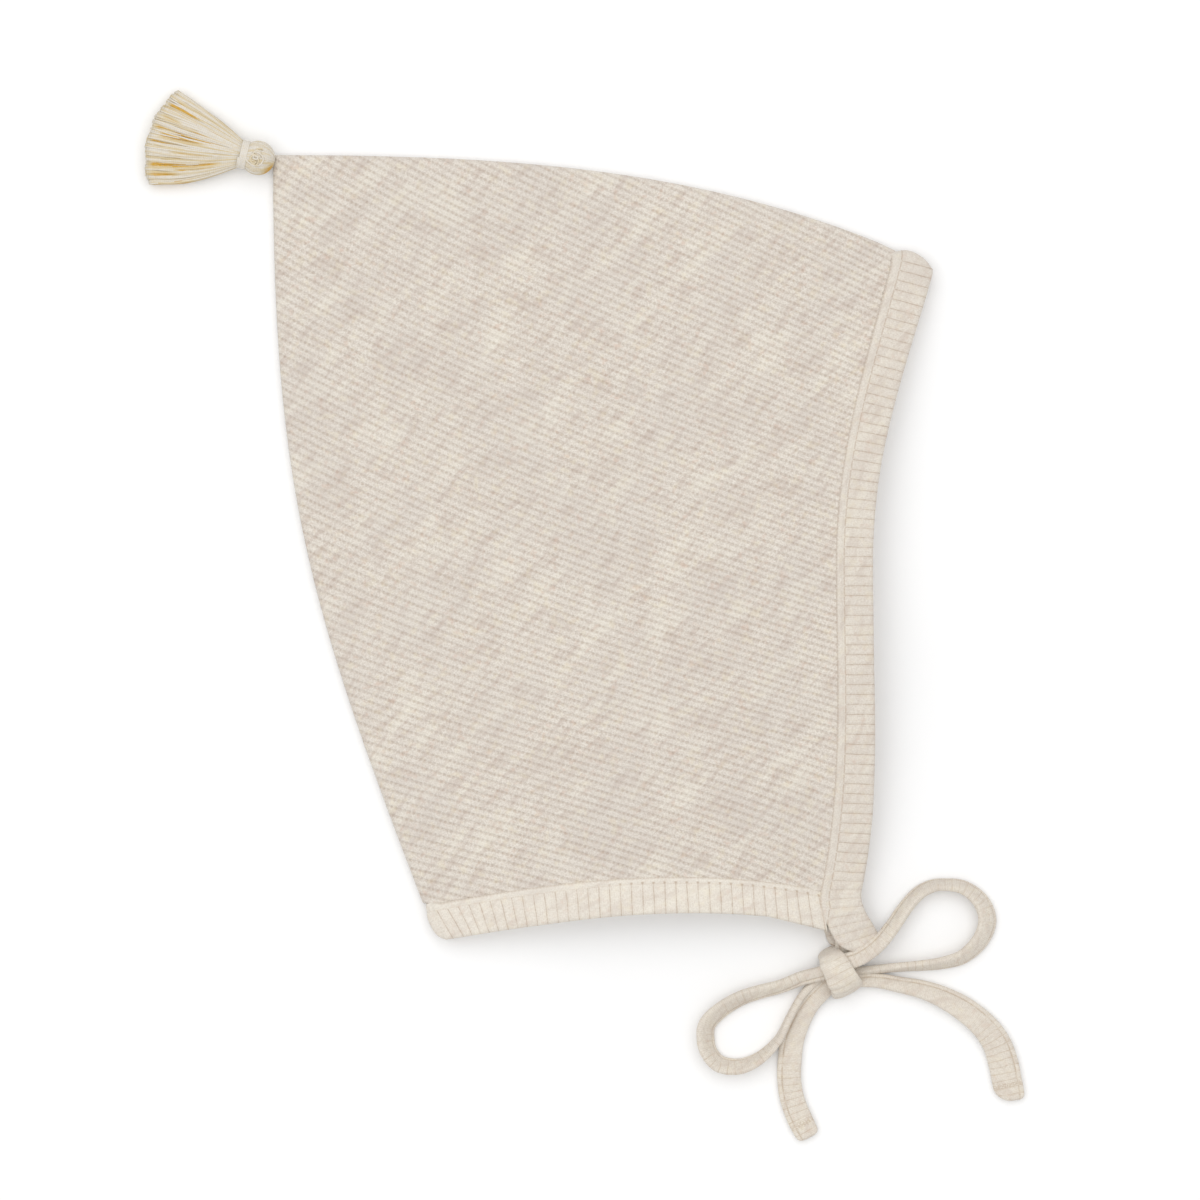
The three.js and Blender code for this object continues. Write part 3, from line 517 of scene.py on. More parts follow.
def binding(
    name, curve, width, welt, pitch, over_at, raised_at, broad_at, aside_at, lean_at,
    fold_bulge, corner, stop, rounded, sink, body_material,
):
    """Sections of the strip carried along the seam on the far side, round the fold, and back on the
    near side, with furrows pressed into its top at each pitch, slanted where the knit was
    stretched. The fold's corner and the end are rounded, the fold bulges in its middle, and near it
    the strip laps further over the hood. Near its end the far side lies a little aside, and the
    near side's outer corner sinks, because the bow lies on it."""

    def there_and_back(far_side, fold, near_side):
        """Values from the end to the fold on the far side, round it, and on the near side back."""
        return np.concatenate([far_side[::-1], fold, near_side])

    length = curve[1][-1]
    first, last = (FOLD_HEIGHT + SEAM_GAP) / length, 1 - stop / length
    share = np.linspace(first, last, int((last - first) * length / STATION_STEP))
    ending = np.radians([20, 38, 52, 64, 74, 82]) if rounded else np.zeros(0)
    lap_share = np.concatenate([share, np.full(len(ending), last)])
    beyond = np.concatenate([np.zeros(len(share)), BAND_END * np.sin(ending)])
    lap_base = along(curve, lap_share) + beyond[:, None] * tangent(curve, np.array([1.0]))
    lap_share[len(share) :] = 1
    settle = BAND_SETTLE * np.minimum(lap_share / BAND_SETTLED, 1)
    near_height = FOLD_HEIGHT + FOLD_MIDDLE - settle + raised_at(lap_share)
    turn = np.pi * (np.linspace(0, 1, 17)[1:-1] - 0.5)
    level, upward = np.cos(turn), np.sin(turn)
    lap_over, lap_broad = over_at(lap_share), broad_at(lap_share)
    fold_over = np.repeat(over_at(np.array([first])), len(turn), 0)
    fold_broad = np.full(len(turn), broad_at(np.array([first]))[0])
    away = np.stack([fold_over[:, 1], -fold_over[:, 0]], -1)
    away *= -np.sign((away * tangent(curve, np.array([0.0]))).sum(-1, keepdims=True))
    fold_base = along(curve, np.full(len(turn), first)) + away * (level * FOLD_MIDDLE)[:, None]
    base = there_and_back(lap_base + aside_at(lap_share), fold_base, lap_base)
    over = there_and_back(lap_over, fold_over, lap_over)
    broad = there_and_back(lap_broad, fold_broad, lap_broad)
    far_height = np.full(len(lap_base), BAND_THICK / 2)
    height = there_and_back(far_height, FOLD_HEIGHT + upward * FOLD_MIDDLE, near_height)
    before_end = (last - share) * length + BAND_END if rounded else np.full(len(share), FAR)
    to_end = np.concatenate([before_end, BAND_END * (1 - np.sin(ending))])
    ended = there_and_back(to_end, np.full(len(turn), FAR), to_end)
    lap_run = lap_share * length + beyond
    to_fold = there_and_back(lap_run, FOLD_HEIGHT * (1 - level), lap_run)
    run = there_and_back(-lap_run, turn / np.pi * 2 * FOLD_HEIGHT, lap_run)
    sunk = sink * np.clip((lap_share - SINK_FROM) / SINK_OVER, 0, 1) ** 1.5
    sunk = there_and_back(0 * sunk, 0 * turn, sunk)
    upright = np.repeat(np.array([[0, 0, 1.0]]), len(lap_base), 0)
    folding = away * level[:, None]
    out = there_and_back(-upright, np.column_stack([folding, upward]), upright)
    folding = there_and_back(0 * lap_base, folding, 0 * lap_base)
    a, b = band_section(width, welt)
    on_top = np.clip((a - welt - 0.4) / 0.6, 0, 1) * (b > 0)
    lean = lean_at(np.abs(run))[:, None] * (np.where(b > 0, a, width) - 1.0)
    knit = run[:, None] - np.sign(run)[:, None] * lean
    nearest = (knit / pitch + 0.5) % 1 - 0.5
    furrow = FURROW_DEPTH * np.exp(-((nearest * pitch / FURROW_WIDTH) ** 2))
    inner = rounding(ended, INNER_ROUND)
    outer = rounding(ended, OUTER_ROUND) + rounding(to_fold, corner)
    lap_reach = np.where(a < LAP, 1 + 1.3 * np.clip(1 - to_fold / 5, 0, 1)[:, None] ** 2, 1)
    reach = LAP + (a - LAP) * lap_reach
    reach = inner[:, None] + reach * (1 - (inner + outer)[:, None] / width) * broad[:, None]
    bulge = np.sin(np.pi * np.clip(a / width, 0, 1)) - 0.39 * np.clip(1 - a / 2.5, 0, 1)
    flat = base[:, None] + over[:, None] * reach[..., None]
    flat = flat + folding[:, None] * fold_bulge * bulge[None, :, None]
    rings = np.concatenate([flat, np.repeat(height[:, None, None], len(a), 1)], -1)
    rings += out[:, None] * (b - furrow * on_top)[..., None]
    rings[..., 2] -= sunk[:, None] * np.clip(reach / width, 0, 1)
    rings[..., 2] = np.maximum(rings[..., 2], 0)
    over_top = np.where(b > -0.99 * BAND_THICK / 2, a, a + 20)
    plain_end = 3.0 * np.clip(1 - (ended - 8) / 6, 0, 1)[:, None]
    places = np.stack(np.broadcast_arrays(knit, over_top[None] + plain_end), -1)
    return ring_body(name, rings, closed(places), body_material)


def binding_cloth(name, pitch, welt, seam_start, stitch_shade, dots_from, faint_from, yarn):
    """Wide rib knit: smooth pale ribs with thin brown furrows of painted shade that stop short of
    the welt, a row of short stitches beside the welt, and a dotted shaded line where it meets the
    hood.
    From one distance along it there are dark dots at the heads of the furrows, and from another
    they grow faint."""
    cloth = Recipe(name)
    run, across, place = cloth.cloth_place()
    colour, fleck = heather(cloth, across, run, place)
    colour = cloth.mix(0.3, colour, yarn)
    rib = cloth.math("DIVIDE", run, pitch)
    wander = cloth.times(cloth.math("SUBTRACT", cloth.noise(place, 220.0), 0.5), 0.16)
    thin = cloth.line(cloth.math("ADD", rib, wander), 0.17)
    beyond_welt = cloth.ramp(across, welt + 0.2, welt + 0.8)
    patchy = cloth.ramp(cloth.noise(place, 500.0), 0.3, 0.6, 0.45, 1.0)
    faint = cloth.ramp(run, faint_from, faint_from + 12.0, 1.0, 0.5)
    # Painted shade in the furrows between the ribs, patchy, and fainter past a distance.
    furrow = cloth.times(thin, beyond_welt, patchy, faint, FURROW_SHADE)
    row = cloth.ramp(cloth.away(across, welt + 0.5), 0.26, 0.08)
    between = cloth.ramp(cloth.away(cloth.math("FRACT", rib), 0.5), 0.44, 0.36)
    stitch = cloth.times(row, between, stitch_shade)
    dots = cloth.ramp(cloth.line(cloth.math("DIVIDE", run, 0.93), 0.9), 0.0, 1.0, 0.45, 1.0)
    begun = cloth.ramp(cloth.math("ABSOLUTE", run), seam_start, seam_start + 2.0)
    seam = cloth.times(cloth.ramp(across, 0.25, -0.15), dots, begun, 0.26)
    dark = cloth.math("MAXIMUM", cloth.math("MAXIMUM", furrow, stitch), seam)
    # A soft, wider painted shade over each furrow.
    dark = cloth.math("ADD", dark, cloth.times(cloth.line(rib, 0.7), beyond_welt, 0.06))
    dot_row = cloth.ramp(cloth.away(across, welt + 0.3), 0.5, 0.15)
    here = cloth.ramp(run, dots_from, dots_from + 12.0)
    dot = cloth.times(cloth.line(rib, 0.42), dot_row, here, DOT_SHADE)
    wale = cloth.line(cloth.math("DIVIDE", run, pitch / 5), 0.8)
    speck = cloth.times(wale, cloth.ramp(cloth.noise(place, 1300.0), 0.45, 0.7))
    dark = cloth.math("MAXIMUM", dark, dot)
    dark = cloth.math("ADD", dark, cloth.times(speck, beyond_welt, 0.16))
    # Darkened by the painted shade of the furrows and of the dotted line by the hood, and by the
    # stitches, dots and specks.
    colour = cloth.mix(dark, colour, paint(168, 140, 112))
    height = cloth.math("SUBTRACT", cloth.times(fleck, 0.4), dark)
    return cloth.finish(colour, height, 0.00015, 0.95, 0.2)


face_band_curve = edge(FACE + TIE_CORNER)
hood_share = face[1][-1] / face_band_curve[1][-1]


def face_over(share):
    """Across the face binding: square to its seam, and near the chin by the table of its lean."""
    way = tangent(face_band_curve, share)
    square = np.degrees(np.arctan2(way[:, 0], -way[:, 1]))
    blend = np.clip((share - FACE_LEAN[0, 0] + 0.12) / 0.12, 0, 1)
    return heading(square * (1 - blend) + np.interp(share, *FACE_LEAN.T) * blend)


face_strip = binding(
    "face_strip",
    curve=face_band_curve,
    width=FACE_BAND_WIDTH,
    welt=FACE_WELT,
    pitch=FACE_RIB,
    over_at=face_over,
    raised_at=lambda share: lift(np.ones(share.shape), np.minimum(share / hood_share, 1)),
    broad_at=lambda share: np.interp(share, *FACE_BREADTH.T),
    aside_at=lambda share: np.clip((share - 0.93) / 0.06, 0, 1)[:, None] * np.array([-2.0, -0.2]),
    lean_at=lambda run: 0 * run,
    fold_bulge=0.9,
    corner=4.2,
    stop=BAND_END - 2.3,
    rounded=True,
    sink=2.4,
    body_material=binding_cloth(
        "face_binding_rib",
        FACE_RIB,
        FACE_WELT,
        seam_start=0.5,
        stitch_shade=0.3421,
        dots_from=500.0,
        faint_from=158.0,
        yarn=paint(215, 207, 195),
    ),
)
neck_strip = binding(
    "neck_strip",
    curve=neck,
    width=NECK_BAND_WIDTH,
    welt=NECK_WELT,
    pitch=NECK_RIB,
    over_at=lambda share: heading(np.interp(share, *NECK_LEAN.T)),
    raised_at=lambda share: (
        lift(share, np.ones(share.shape)) - 0.7 * np.clip((share - 0.93) / 0.07, 0, 1)
    ),
    broad_at=lambda share: np.interp(share, *NECK_BREADTH.T),
    aside_at=lambda share: np.zeros((len(share), 2)),
    lean_at=lambda run: np.interp(run, [0, 3, 8, 16, 26], [0.0, 0.2, 0.26, 0.12, 0.03]),
    fold_bulge=0.45,
    corner=3.0,
    stop=-1.2,
    rounded=False,
    sink=0.0,
    body_material=binding_cloth(
        "neck_binding_rib",
        NECK_RIB,
        NECK_WELT,
        seam_start=3.0,
        stitch_shade=0.1368,
        dots_from=42.0,
        faint_from=500.0,
        yarn=paint(242, 236, 223),
    ),
)
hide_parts("face_band")
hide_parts("neck_band")


# The ties: narrow tubes of fine rib knit pressed flat, with a rolled edge along one side and hemmed
# ends. Each comes out of an end of the face binding, and the two are knotted in a bow.
TIE_WIDTH = 6.2
TIE_THICK = 2.2
TIE_ROLL = 1.25
TIE_COURSE = 1.85
ROOT_REACH = 12.0
LOOP_REACH = 36.0
TAIL_REACH = 44.0
KNOT_OFFSET = (0.4, -6.0)
STRAP_SIDES = 56
UNHEMMED_RUN = 60.0

# Along and up as shares of the reach from the knot, rise in tie thicknesses, width in tie widths,
# and tilt in degrees.
LOOP_LEFT = [
    (-0.05, 0.02, 1.9, 0.62, 15), (-0.16, -0.014, 1.6, 0.62, 20), (-0.289, -0.05, 0.9, 0.64, 30),
    (-0.433, -0.108, 0.3, 0.7, 45), (-0.578, -0.147, 0, 0.8, 50), (-0.722, -0.194, 0, 0.86, 50),
    (-0.867, -0.28, 0, 0.92, 48), (-0.965, -0.38, 0, 0.95, 46), (-0.978, -0.487, 0, 0.96, 46),
    (-0.95, -0.59, 0, 0.94, 48), (-0.867, -0.673, 0, 0.92, 50), (-0.722, -0.684, 0, 0.9, 56),
    (-0.578, -0.618, 0, 0.86, 68), (-0.455, -0.495, 0, 0.8, 80), (-0.38, -0.35, 0, 0.75, 88),
    (-0.292, -0.192, 0, 0.62, 88), (-0.2, -0.09, 0, 0.5, 80), (-0.08, -0.012, 0.1, 0.46, 70),
]
LOOP_RIGHT = [
    (-0.06, 0.04, 1.9, 0.76, 10), (0.054, 0.08, 2.0, 0.74, 12), (0.14, 0.114, 2.2, 0.72, 18),
    (0.229, 0.174, 2.2, 0.72, 26), (0.301, 0.243, 1.9, 0.72, 34), (0.38, 0.342, 1.2, 0.74, 44),
    (0.466, 0.464, 0.5, 0.76, 50), (0.557, 0.561, 0, 0.78, 56), (0.651, 0.613, 0, 0.8, 62),
    (0.739, 0.626, 0, 0.84, 66), (0.884, 0.606, 0, 0.88, 60), (1.007, 0.508, 0, 0.94, 50),
    (1.057, 0.369, 0, 0.98, 44), (1.007, 0.225, 0, 0.96, 46), (0.884, 0.108, 0, 0.9, 54),
    (0.739, 0.062, 0, 0.86, 62), (0.595, 0.043, 0, 0.8, 68), (0.45, 0.032, 0, 0.7, 72),
    (0.306, 0.018, 0, 0.56, 70), (0.097, -0.01, 0, 0.5, 60),
]
TAIL_LEFT = [
    (-0.04, -0.04, 0.3, 0.78, 0), (-0.105, -0.11, 0.3, 0.8, 0), (-0.18, -0.19, 0.1, 0.82, 0),
    (-0.24, -0.289, 0, 0.9, 0), (-0.285, -0.407, 0, 0.97, 0), (-0.302, -0.525, 0, 1, 0),
    (-0.305, -0.643, 0, 1, 0), (-0.286, -0.761, 0, 1.02, 0), (-0.24, -0.88, 0, 1.04, 0),
    (-0.186, -0.985, 0, 0.98, 0),
]
TAIL_RIGHT = [
    (0.02, -0.045, 0.4, 0.58, 10), (0.1, -0.052, 0.3, 0.58, 16), (0.22, -0.056, 0.1, 0.62, 22),
    (0.36, -0.083, 0, 0.7, 24), (0.481, -0.109, 0, 0.8, 22), (0.6, -0.153, 0, 0.92, 18),
    (0.724, -0.222, 0, 1.04, 12), (0.842, -0.319, 0, 1.12, 8), (0.92, -0.427, 0, 1.2, 4),
    (0.959, -0.538, 0, 1.26, 0), (0.979, -0.633, 0, 1.26, 0), (0.996, -0.713, 0, 1.24, 0),
    (1.004, -0.768, 0, 1.2, 0),
]
ROOT_NEAR = [
    (0.36, 0.9, 0, 0.66, 0), (0.3, 0.65, 0, 0.66, 0),
    (0.2, 0.4, 0, 0.6, 0), (0.05, 0.05, 0, 0.5, 0),
]
ROOT_FAR = [
    (0.06, 0.98, 0, 0.66, 0), (0.05, 0.7, 0, 0.66, 0), (0.02, 0.4, 0, 0.6, 0), (0, 0.05, 0, 0.5, 0),
]

knot_middle = along(face_band_curve, 1) + KNOT_OFFSET


def smooth_rows(rows, share):
    """A uniform Catmull-Rom curve through the rows of a table."""
    rows = np.asarray(rows, float)
    padded = np.concatenate([[2 * rows[0] - rows[1]], rows, [2 * rows[-1] - rows[-2]]])
    place = np.clip(share * (len(rows) - 1), 0, len(rows) - 1 - 1e-9)
    k = place.astype(int)
    t = (place - k)[:, None]
    p, q, r, s = (padded[k + n] for n in range(4))
    return q + 0.5 * t * (r - p + t * (2 * p - 5 * q + 4 * r - s + t * (3 * (q - r) + s - p)))


def squarish(value, power):
    """A sine or cosine drawn out towards its full height, with its sign kept. The lower the power,
    the squarer the round."""
    return np.sign(value) * np.abs(value) ** power


def strap(name, rows, reach, body_material, lifted=0.0, hem=0.0, corners=(0.1, 0.1), roll_side=1):
    """A flattened tube carried along its rows: its section is a squared ellipse that is turned by
    the tilt, with a groove beside the rolled edge. A hemmed end thins out in a quarter round, and
    its two corners are rounded. Its place on the cloth is the length back from that end and the way
    over the strap."""
    table = np.asarray(rows, float)
    share = np.linspace(0, 1, int(len(rows) * 14))
    shape = smooth_rows(table * [reach, reach, TIE_THICK, TIE_WIDTH, 1], share)
    step = np.gradient(shape[:, :2], axis=0)
    way = step / np.linalg.norm(step, axis=1, keepdims=True)
    run = np.cumsum(np.linalg.norm(np.diff(shape[:, :2], axis=0), axis=1))
    run = run[-1] - np.concatenate([[0], run])
    tilt = np.radians(shape[:, 4])
    half = np.maximum(shape[:, 3], TIE_THICK) / 2
    core = np.maximum(shape[:, 3] - TIE_THICK, 0.2) / 2
    up = shape[:, 2] + lifted + core * np.abs(np.sin(tilt)) + TIE_THICK / 2
    middle = np.column_stack([shape[:, :2] + knot_middle, up])
    side = np.column_stack([way[:, 1] * np.cos(tilt), -way[:, 0] * np.cos(tilt), np.sin(tilt)])
    out = np.column_stack([-way[:, 1] * np.sin(tilt), way[:, 0] * np.sin(tilt), np.cos(tilt)])
    turn = 2 * np.pi * np.arange(STRAP_SIDES) / STRAP_SIDES
    over, rise = squarish(np.cos(turn), 0.8), squarish(np.sin(turn), 0.62)
    closing, drawn = np.ones(len(run)), 0
    if hem:
        closing = np.sqrt(np.clip(1 - (1 - np.clip(run / hem, 0, 1)) ** 2, 0.02, 1))
        right, left = (rounding(run, radius)[:, None] for radius in corners)
        drawn = np.where(over > 0, right, left)
    across = over * (half[:, None] - drawn)
    from_roll = roll_side * across - (half[:, None] - TIE_ROLL)
    groove = 0.22 * np.exp(-((from_roll / 0.3) ** 2)) * (rise > 0.5)
    course = 0.012 * np.cos(2 * np.pi * run / TIE_COURSE)[:, None] * (rise > 0.5)
    high = (rise * TIE_THICK / 2 * 0.94 - groove + course) * closing[:, None]
    rings = middle[:, None] + side[:, None] * across[..., None] + out[:, None] * high[..., None]
    rings[..., 2] = np.maximum(rings[..., 2], 0)
    place = np.repeat(run[:, None], STRAP_SIDES, 1) + (0 if hem else UNHEMMED_RUN)
    return ring_body(name, rings, closed(np.stack([place, from_roll], -1)), body_material)


def tie_cloth():
    """Fine rib knit of the ties: faint rows of stitches across, plainer towards the hemmed ends, a
    shaded line beside the rolled edge, and a darker hem where the end is turned in."""
    cloth = Recipe("tie_rib")
    run, across, place = cloth.cloth_place()
    colour, fleck = heather(cloth, across, run, place)
    # The heather is lightened for the ties, partly as painted light for their highlights.
    colour = cloth.mix(0.3, colour, paint(228, 220, 205))
    wandering = cloth.noise(place, 300.0)
    wander = cloth.times(cloth.math("SUBTRACT", wandering, 0.5), 0.5)
    course = cloth.line(cloth.math("ADD", cloth.math("DIVIDE", run, TIE_COURSE), wander), 0.34)
    patch = cloth.ramp(cloth.noise(place, 110.0), 0.42, 0.62, 0.04, 1.0)
    patch = cloth.times(patch, cloth.ramp(run, 56.0, UNHEMMED_RUN, 0.15, 1.0))
    near_end = cloth.times(cloth.ramp(run, 28.0, 16.0), cloth.ramp(wandering, 0.3, 0.5, 0.5, 1.0))
    course = cloth.times(course, cloth.math("MAXIMUM", patch, near_end), 0.24)
    fine = cloth.line(cloth.math("DIVIDE", run, 0.46), 0.8)
    fine = cloth.times(fine, cloth.ramp(cloth.noise(place, 1300.0), 0.4, 0.7, 0.3, 1.0), 0.22)
    broken = cloth.ramp(cloth.noise(place, 700.0), 0.3, 0.6, 0.4, 1.0)
    groove = cloth.times(cloth.ramp(cloth.math("ABSOLUTE", across), 0.28, 0.05), broken, 0.42)
    hem = cloth.times(cloth.ramp(run, 3.0, 3.8), cloth.ramp(run, 5.4, 4.2))
    hem = cloth.times(hem, cloth.ramp(fleck, 0.35, 0.6), 0.35)
    dark = cloth.math("MAXIMUM", cloth.math("MAXIMUM", course, groove), hem)
    dark = cloth.math("ADD", dark, fine)
    colour = cloth.mix(dark, colour, paint(176, 150, 118))
    height = cloth.math("SUBTRACT", cloth.times(fleck, 0.4), dark)
    return cloth.finish(colour, height, 0.00015, 0.95, 0.2)


tie_rib = tie_cloth()
BAND_TOP = BAND_THICK + SEAM_GAP
straps = {
    "bow_loop_left": strap("left_loop_strap", LOOP_LEFT, LOOP_REACH, tie_rib, roll_side=-1),
    "bow_loop_right": strap("right_loop_strap", LOOP_RIGHT, LOOP_REACH, tie_rib, roll_side=-1),
    "tie_end_left": strap(
        "left_end_strap", TAIL_LEFT, TAIL_REACH, tie_rib, hem=0.9, corners=(1.6, 1.6)
    ),
    "tie_end_right": strap(
        "right_end_strap", TAIL_RIGHT, TAIL_REACH, tie_rib, hem=0.9, corners=(4.2, 1.4),
        roll_side=-1,
    ),
    "tie_root_near": strap("near_root_strap", ROOT_NEAR, ROOT_REACH, tie_rib, lifted=BAND_TOP),
    "tie_root_far": strap("far_root_strap", ROOT_FAR, ROOT_REACH, tie_rib, lifted=BAND_TOP),
}
for node, piece in straps.items():
    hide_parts(node)


# The wrap of the bow: the same tie passed once over the middle of the bow and pulled tight. It is a
# broad strap that arches over the strands and tucks under at both ends, crisp along its right edge
# and drawn into small creases on its left.
KNOT_LENGTH = 13.3
KNOT_HEIGHT = 8.8
KNOT_HEADING = -62
KNOT_ASIDE = (-0.3, -0.65)
KNOT_SQUARENESS = 2.6
WRAP_THICK = 2.0

# Width of the wrap at turns over the bow, in degrees from its lower right end.
WRAP_WIDTH = np.array([(0, 8.9), (60, 8.3), (120, 7.3), (150, 6.3), (180, 5.4)])


def knot_place(length, across, up):
    """Points from distances along the wrap, over it to the right, and up from the table."""
    way = heading(KNOT_HEADING)
    length, across = length + KNOT_ASIDE[0], across + KNOT_ASIDE[1]
    x = knot_middle[0] + way[0] * length - way[1] * across
    y = knot_middle[1] + way[1] * length + way[0] * across
    return np.stack(np.broadcast_arrays(x, y, np.maximum(up, 0)), -1)


def wrap(name, body_material):
    """A strap's squared section carried over a squared half circle. It is narrower at its upper
    left end, and wrinkles run in from its left edge."""
    turn = np.radians(np.linspace(1, 179, 90))
    length = KNOT_LENGTH / 2 * squarish(np.cos(turn), 2 / KNOT_SQUARENESS)
    up = KNOT_HEIGHT * squarish(np.sin(turn), 2 / KNOT_SQUARENESS)
    way = np.stack([np.gradient(length), np.gradient(up)], -1)
    way /= np.linalg.norm(way, axis=-1, keepdims=True)
    out = np.stack([way[:, 1], -way[:, 0]], -1)
    width = np.interp(np.degrees(turn), *WRAP_WIDTH.T)
    round_section = 2 * np.pi * np.arange(80) / 80
    over, rise = squarish(np.cos(round_section), 0.42), squarish(np.sin(round_section), 0.6)
    left = np.clip((0.5 - over) / 1.3, 0, 1) * (rise > 0)
    crease = 0.2 * left * np.cos(16 * turn[:, None] + 2 * over) * np.sin(turn)[:, None]
    crown = 0.5 * (1 - over**2) * (rise > 0)
    high = (rise - 1) * WRAP_THICK / 2 + crease + crown - 0.4
    ripple = 0.14 * np.sin(8 * turn)[:, None] * np.clip(-over, 0, 1)
    rings = knot_place(
        length[:, None] + out[:, :1] * high,
        over * width[:, None] / 2 + ripple,
        up[:, None] + out[:, 1:] * high,
    )
    run = np.concatenate([[0], np.cumsum(np.hypot(np.diff(length), np.diff(up)))])[:, None]
    places = np.stack(np.broadcast_arrays(run + UNHEMMED_RUN, 3 + over * width[:, None] / 4), -1)
    return ring_body(name, rings, closed(places), body_material)


def strands(name, body_material):
    """The strands gathered under the wrap, as one squared ball that its edges close on."""
    station = np.sin(np.linspace(-1, 1, 41) * np.pi / 2 * 0.98)
    girth = (1 - np.abs(station) ** 2.6) ** (1 / 2.6)
    turn = 2 * np.pi * np.arange(48) / 48
    size = (np.abs(np.cos(turn)) ** 2.4 + np.abs(np.sin(turn)) ** 2.4) ** (-1 / 2.4)
    pleat = 1 + 0.03 * np.cos(9 * turn)
    over = girth[:, None] * size * pleat * np.cos(turn) * 3.7
    up = 3.6 + girth[:, None] * size * pleat * np.sin(turn) * 3.6
    rings = knot_place(station[:, None] * 5.4, over, up)
    places = np.stack(np.broadcast_arrays(station[:, None] * 6 + UNHEMMED_RUN, 3 + over), -1)
    return ring_body(name, rings, closed(places), body_material)


bow_wrap = wrap("bow_wrap", tie_rib)
bow_strands = strands("bow_strands", tie_rib)
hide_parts("bow_knot")


# The tassel: about a thousand threads of cream rayon, doubled over a stitch at the hood's point,
# wound round with the same thread below the head, and cut off in a fan. Golden painted shade is
# painted on the lower threads and where the threads part.
TASSEL_HEAD = 8.8
TASSEL_NECK = 5.8
TASSEL_SKIRT = 26.2
TASSEL_SPREAD = 59.0
TASSEL_DEPTH = 4.6
TASSEL_HEADING = 166.8
TASSEL_DROP = 0.9
CUT_SLANT = 0.07
BINDING_PLACE = 3.8
THREAD = 0.18
UNDER_THREAD = 0.36
HEAD_THREAD = 0.3
WINDING_THREAD = 0.34
LOOP_THREAD = 0.26
SKIRT_STATIONS = 15
SKIRT_LOCKS = 13
UNDER_THREADS = 240
TOP_THREADS = 760
HEAD_THREADS = 84

# Partings of the fan, where the threads are painted golden as painted shade: share across the
# fan, from and to along it, and width.
SHADED_PARTINGS = [
    (0.17, 0.55, 0.97, 0.019), (0.145, 0.70, 0.99, 0.007), (0.30, 0.72, 0.99, 0.026),
    (0.33, 0.50, 0.90, 0.007), (0.42, 0.80, 0.99, 0.018), (0.50, 0.40, 0.92, 0.022),
    (0.475, 0.55, 0.99, 0.006), (0.44, 0.20, 0.80, 0.019), (0.24, 0.28, 0.62, 0.010),
    (0.80, 0.22, 0.98, 0.022), (0.835, 0.40, 0.90, 0.007), (0.90, 0.66, 0.99, 0.016),
    (0.985, 0.50, 0.99, 0.012), (0.66, 0.30, 0.72, 0.009), (0.10, 0.62, 0.90, 0.009),
    (0.36, 0.34, 0.58, 0.008), (0.57, 0.56, 0.95, 0.009), (0.72, 0.62, 0.97, 0.010),
    (0.76, 0.12, 0.44, 0.008), (0.86, 0.30, 0.66, 0.008),
]

chance = np.random.default_rng(7)
head_above = TASSEL_HEAD / 2 - SEAM_HEIGHT
head_clear = math.sqrt((TASSEL_HEAD / 2 + SEAM_GAP) ** 2 - head_above**2)
head_middle = np.array([-head_clear, -TASSEL_DROP, TASSEL_HEAD / 2])
tassel_way = np.append(heading(TASSEL_HEADING), 0)
tassel_side = np.array([-tassel_way[1], tassel_way[0], 0])


def in_tassel(out, over, up):
    """Points from distances out along the tassel, over to its side, and up from the head's
    middle."""
    beside = out[..., None] * tassel_way + over[..., None] * tassel_side
    return head_middle + beside + up[..., None] * np.array([0, 0, 1.0])


def threads(name, paths, radius, tint, body_material, sides=5, upright=None):
    """Round threads along many paths at once, closed at both ends. Each ring stands square to its
    path, turned by a reference direction. The place on the cloth is the length along and the
    tint."""
    count, stations = paths.shape[:2]
    way = np.gradient(paths, axis=1)
    way /= np.linalg.norm(way, axis=-1, keepdims=True)
    reference = np.array([0, 0, 1.0]) if upright is None else upright[:, None]
    side = np.cross(way, np.broadcast_to(reference, way.shape))
    side /= np.linalg.norm(side, axis=-1, keepdims=True)
    up = np.cross(side, way)
    turn = 2 * np.pi * np.arange(sides) / sides
    ring = side[:, :, None] * np.cos(turn)[:, None] + up[:, :, None] * np.sin(turn)[:, None]
    points = paths[:, :, None] + ring * np.broadcast_to(radius, (count, stations))[..., None, None]
    points[..., 2] = np.maximum(points[..., 2], 0)
    n, k, i = np.meshgrid(*map(np.arange, (count, stations - 1, sides)), indexing="ij")
    j = (i + 1) % sides
    base = (n * stations + k) * sides
    quads = np.stack([base + i, base + sides + i, base + sides + j, base + j], -1).reshape(-1, 4)
    first = np.arange(count)[:, None] * stations * sides
    starts = first + np.arange(sides)
    ends = first + (stations - 1) * sides + np.arange(sides)[::-1]
    steps = np.linalg.norm(np.diff(paths, axis=1), axis=-1)
    run = np.concatenate([np.zeros((count, 1)), np.cumsum(steps, 1)], 1)
    run = np.repeat(run[..., None], sides, 2)
    tint = np.asarray(tint, float).reshape(count, -1, 1)
    place = np.stack([run, np.broadcast_to(tint, run.shape)], -1).reshape(-1, 2)
    corners = np.concatenate([quads.ravel(), starts.ravel(), ends.ravel()])
    faces = quads.tolist() + starts.tolist() + ends.tolist()
    return cloth_object(name, points.reshape(-1, 3), faces, place[corners], body_material)


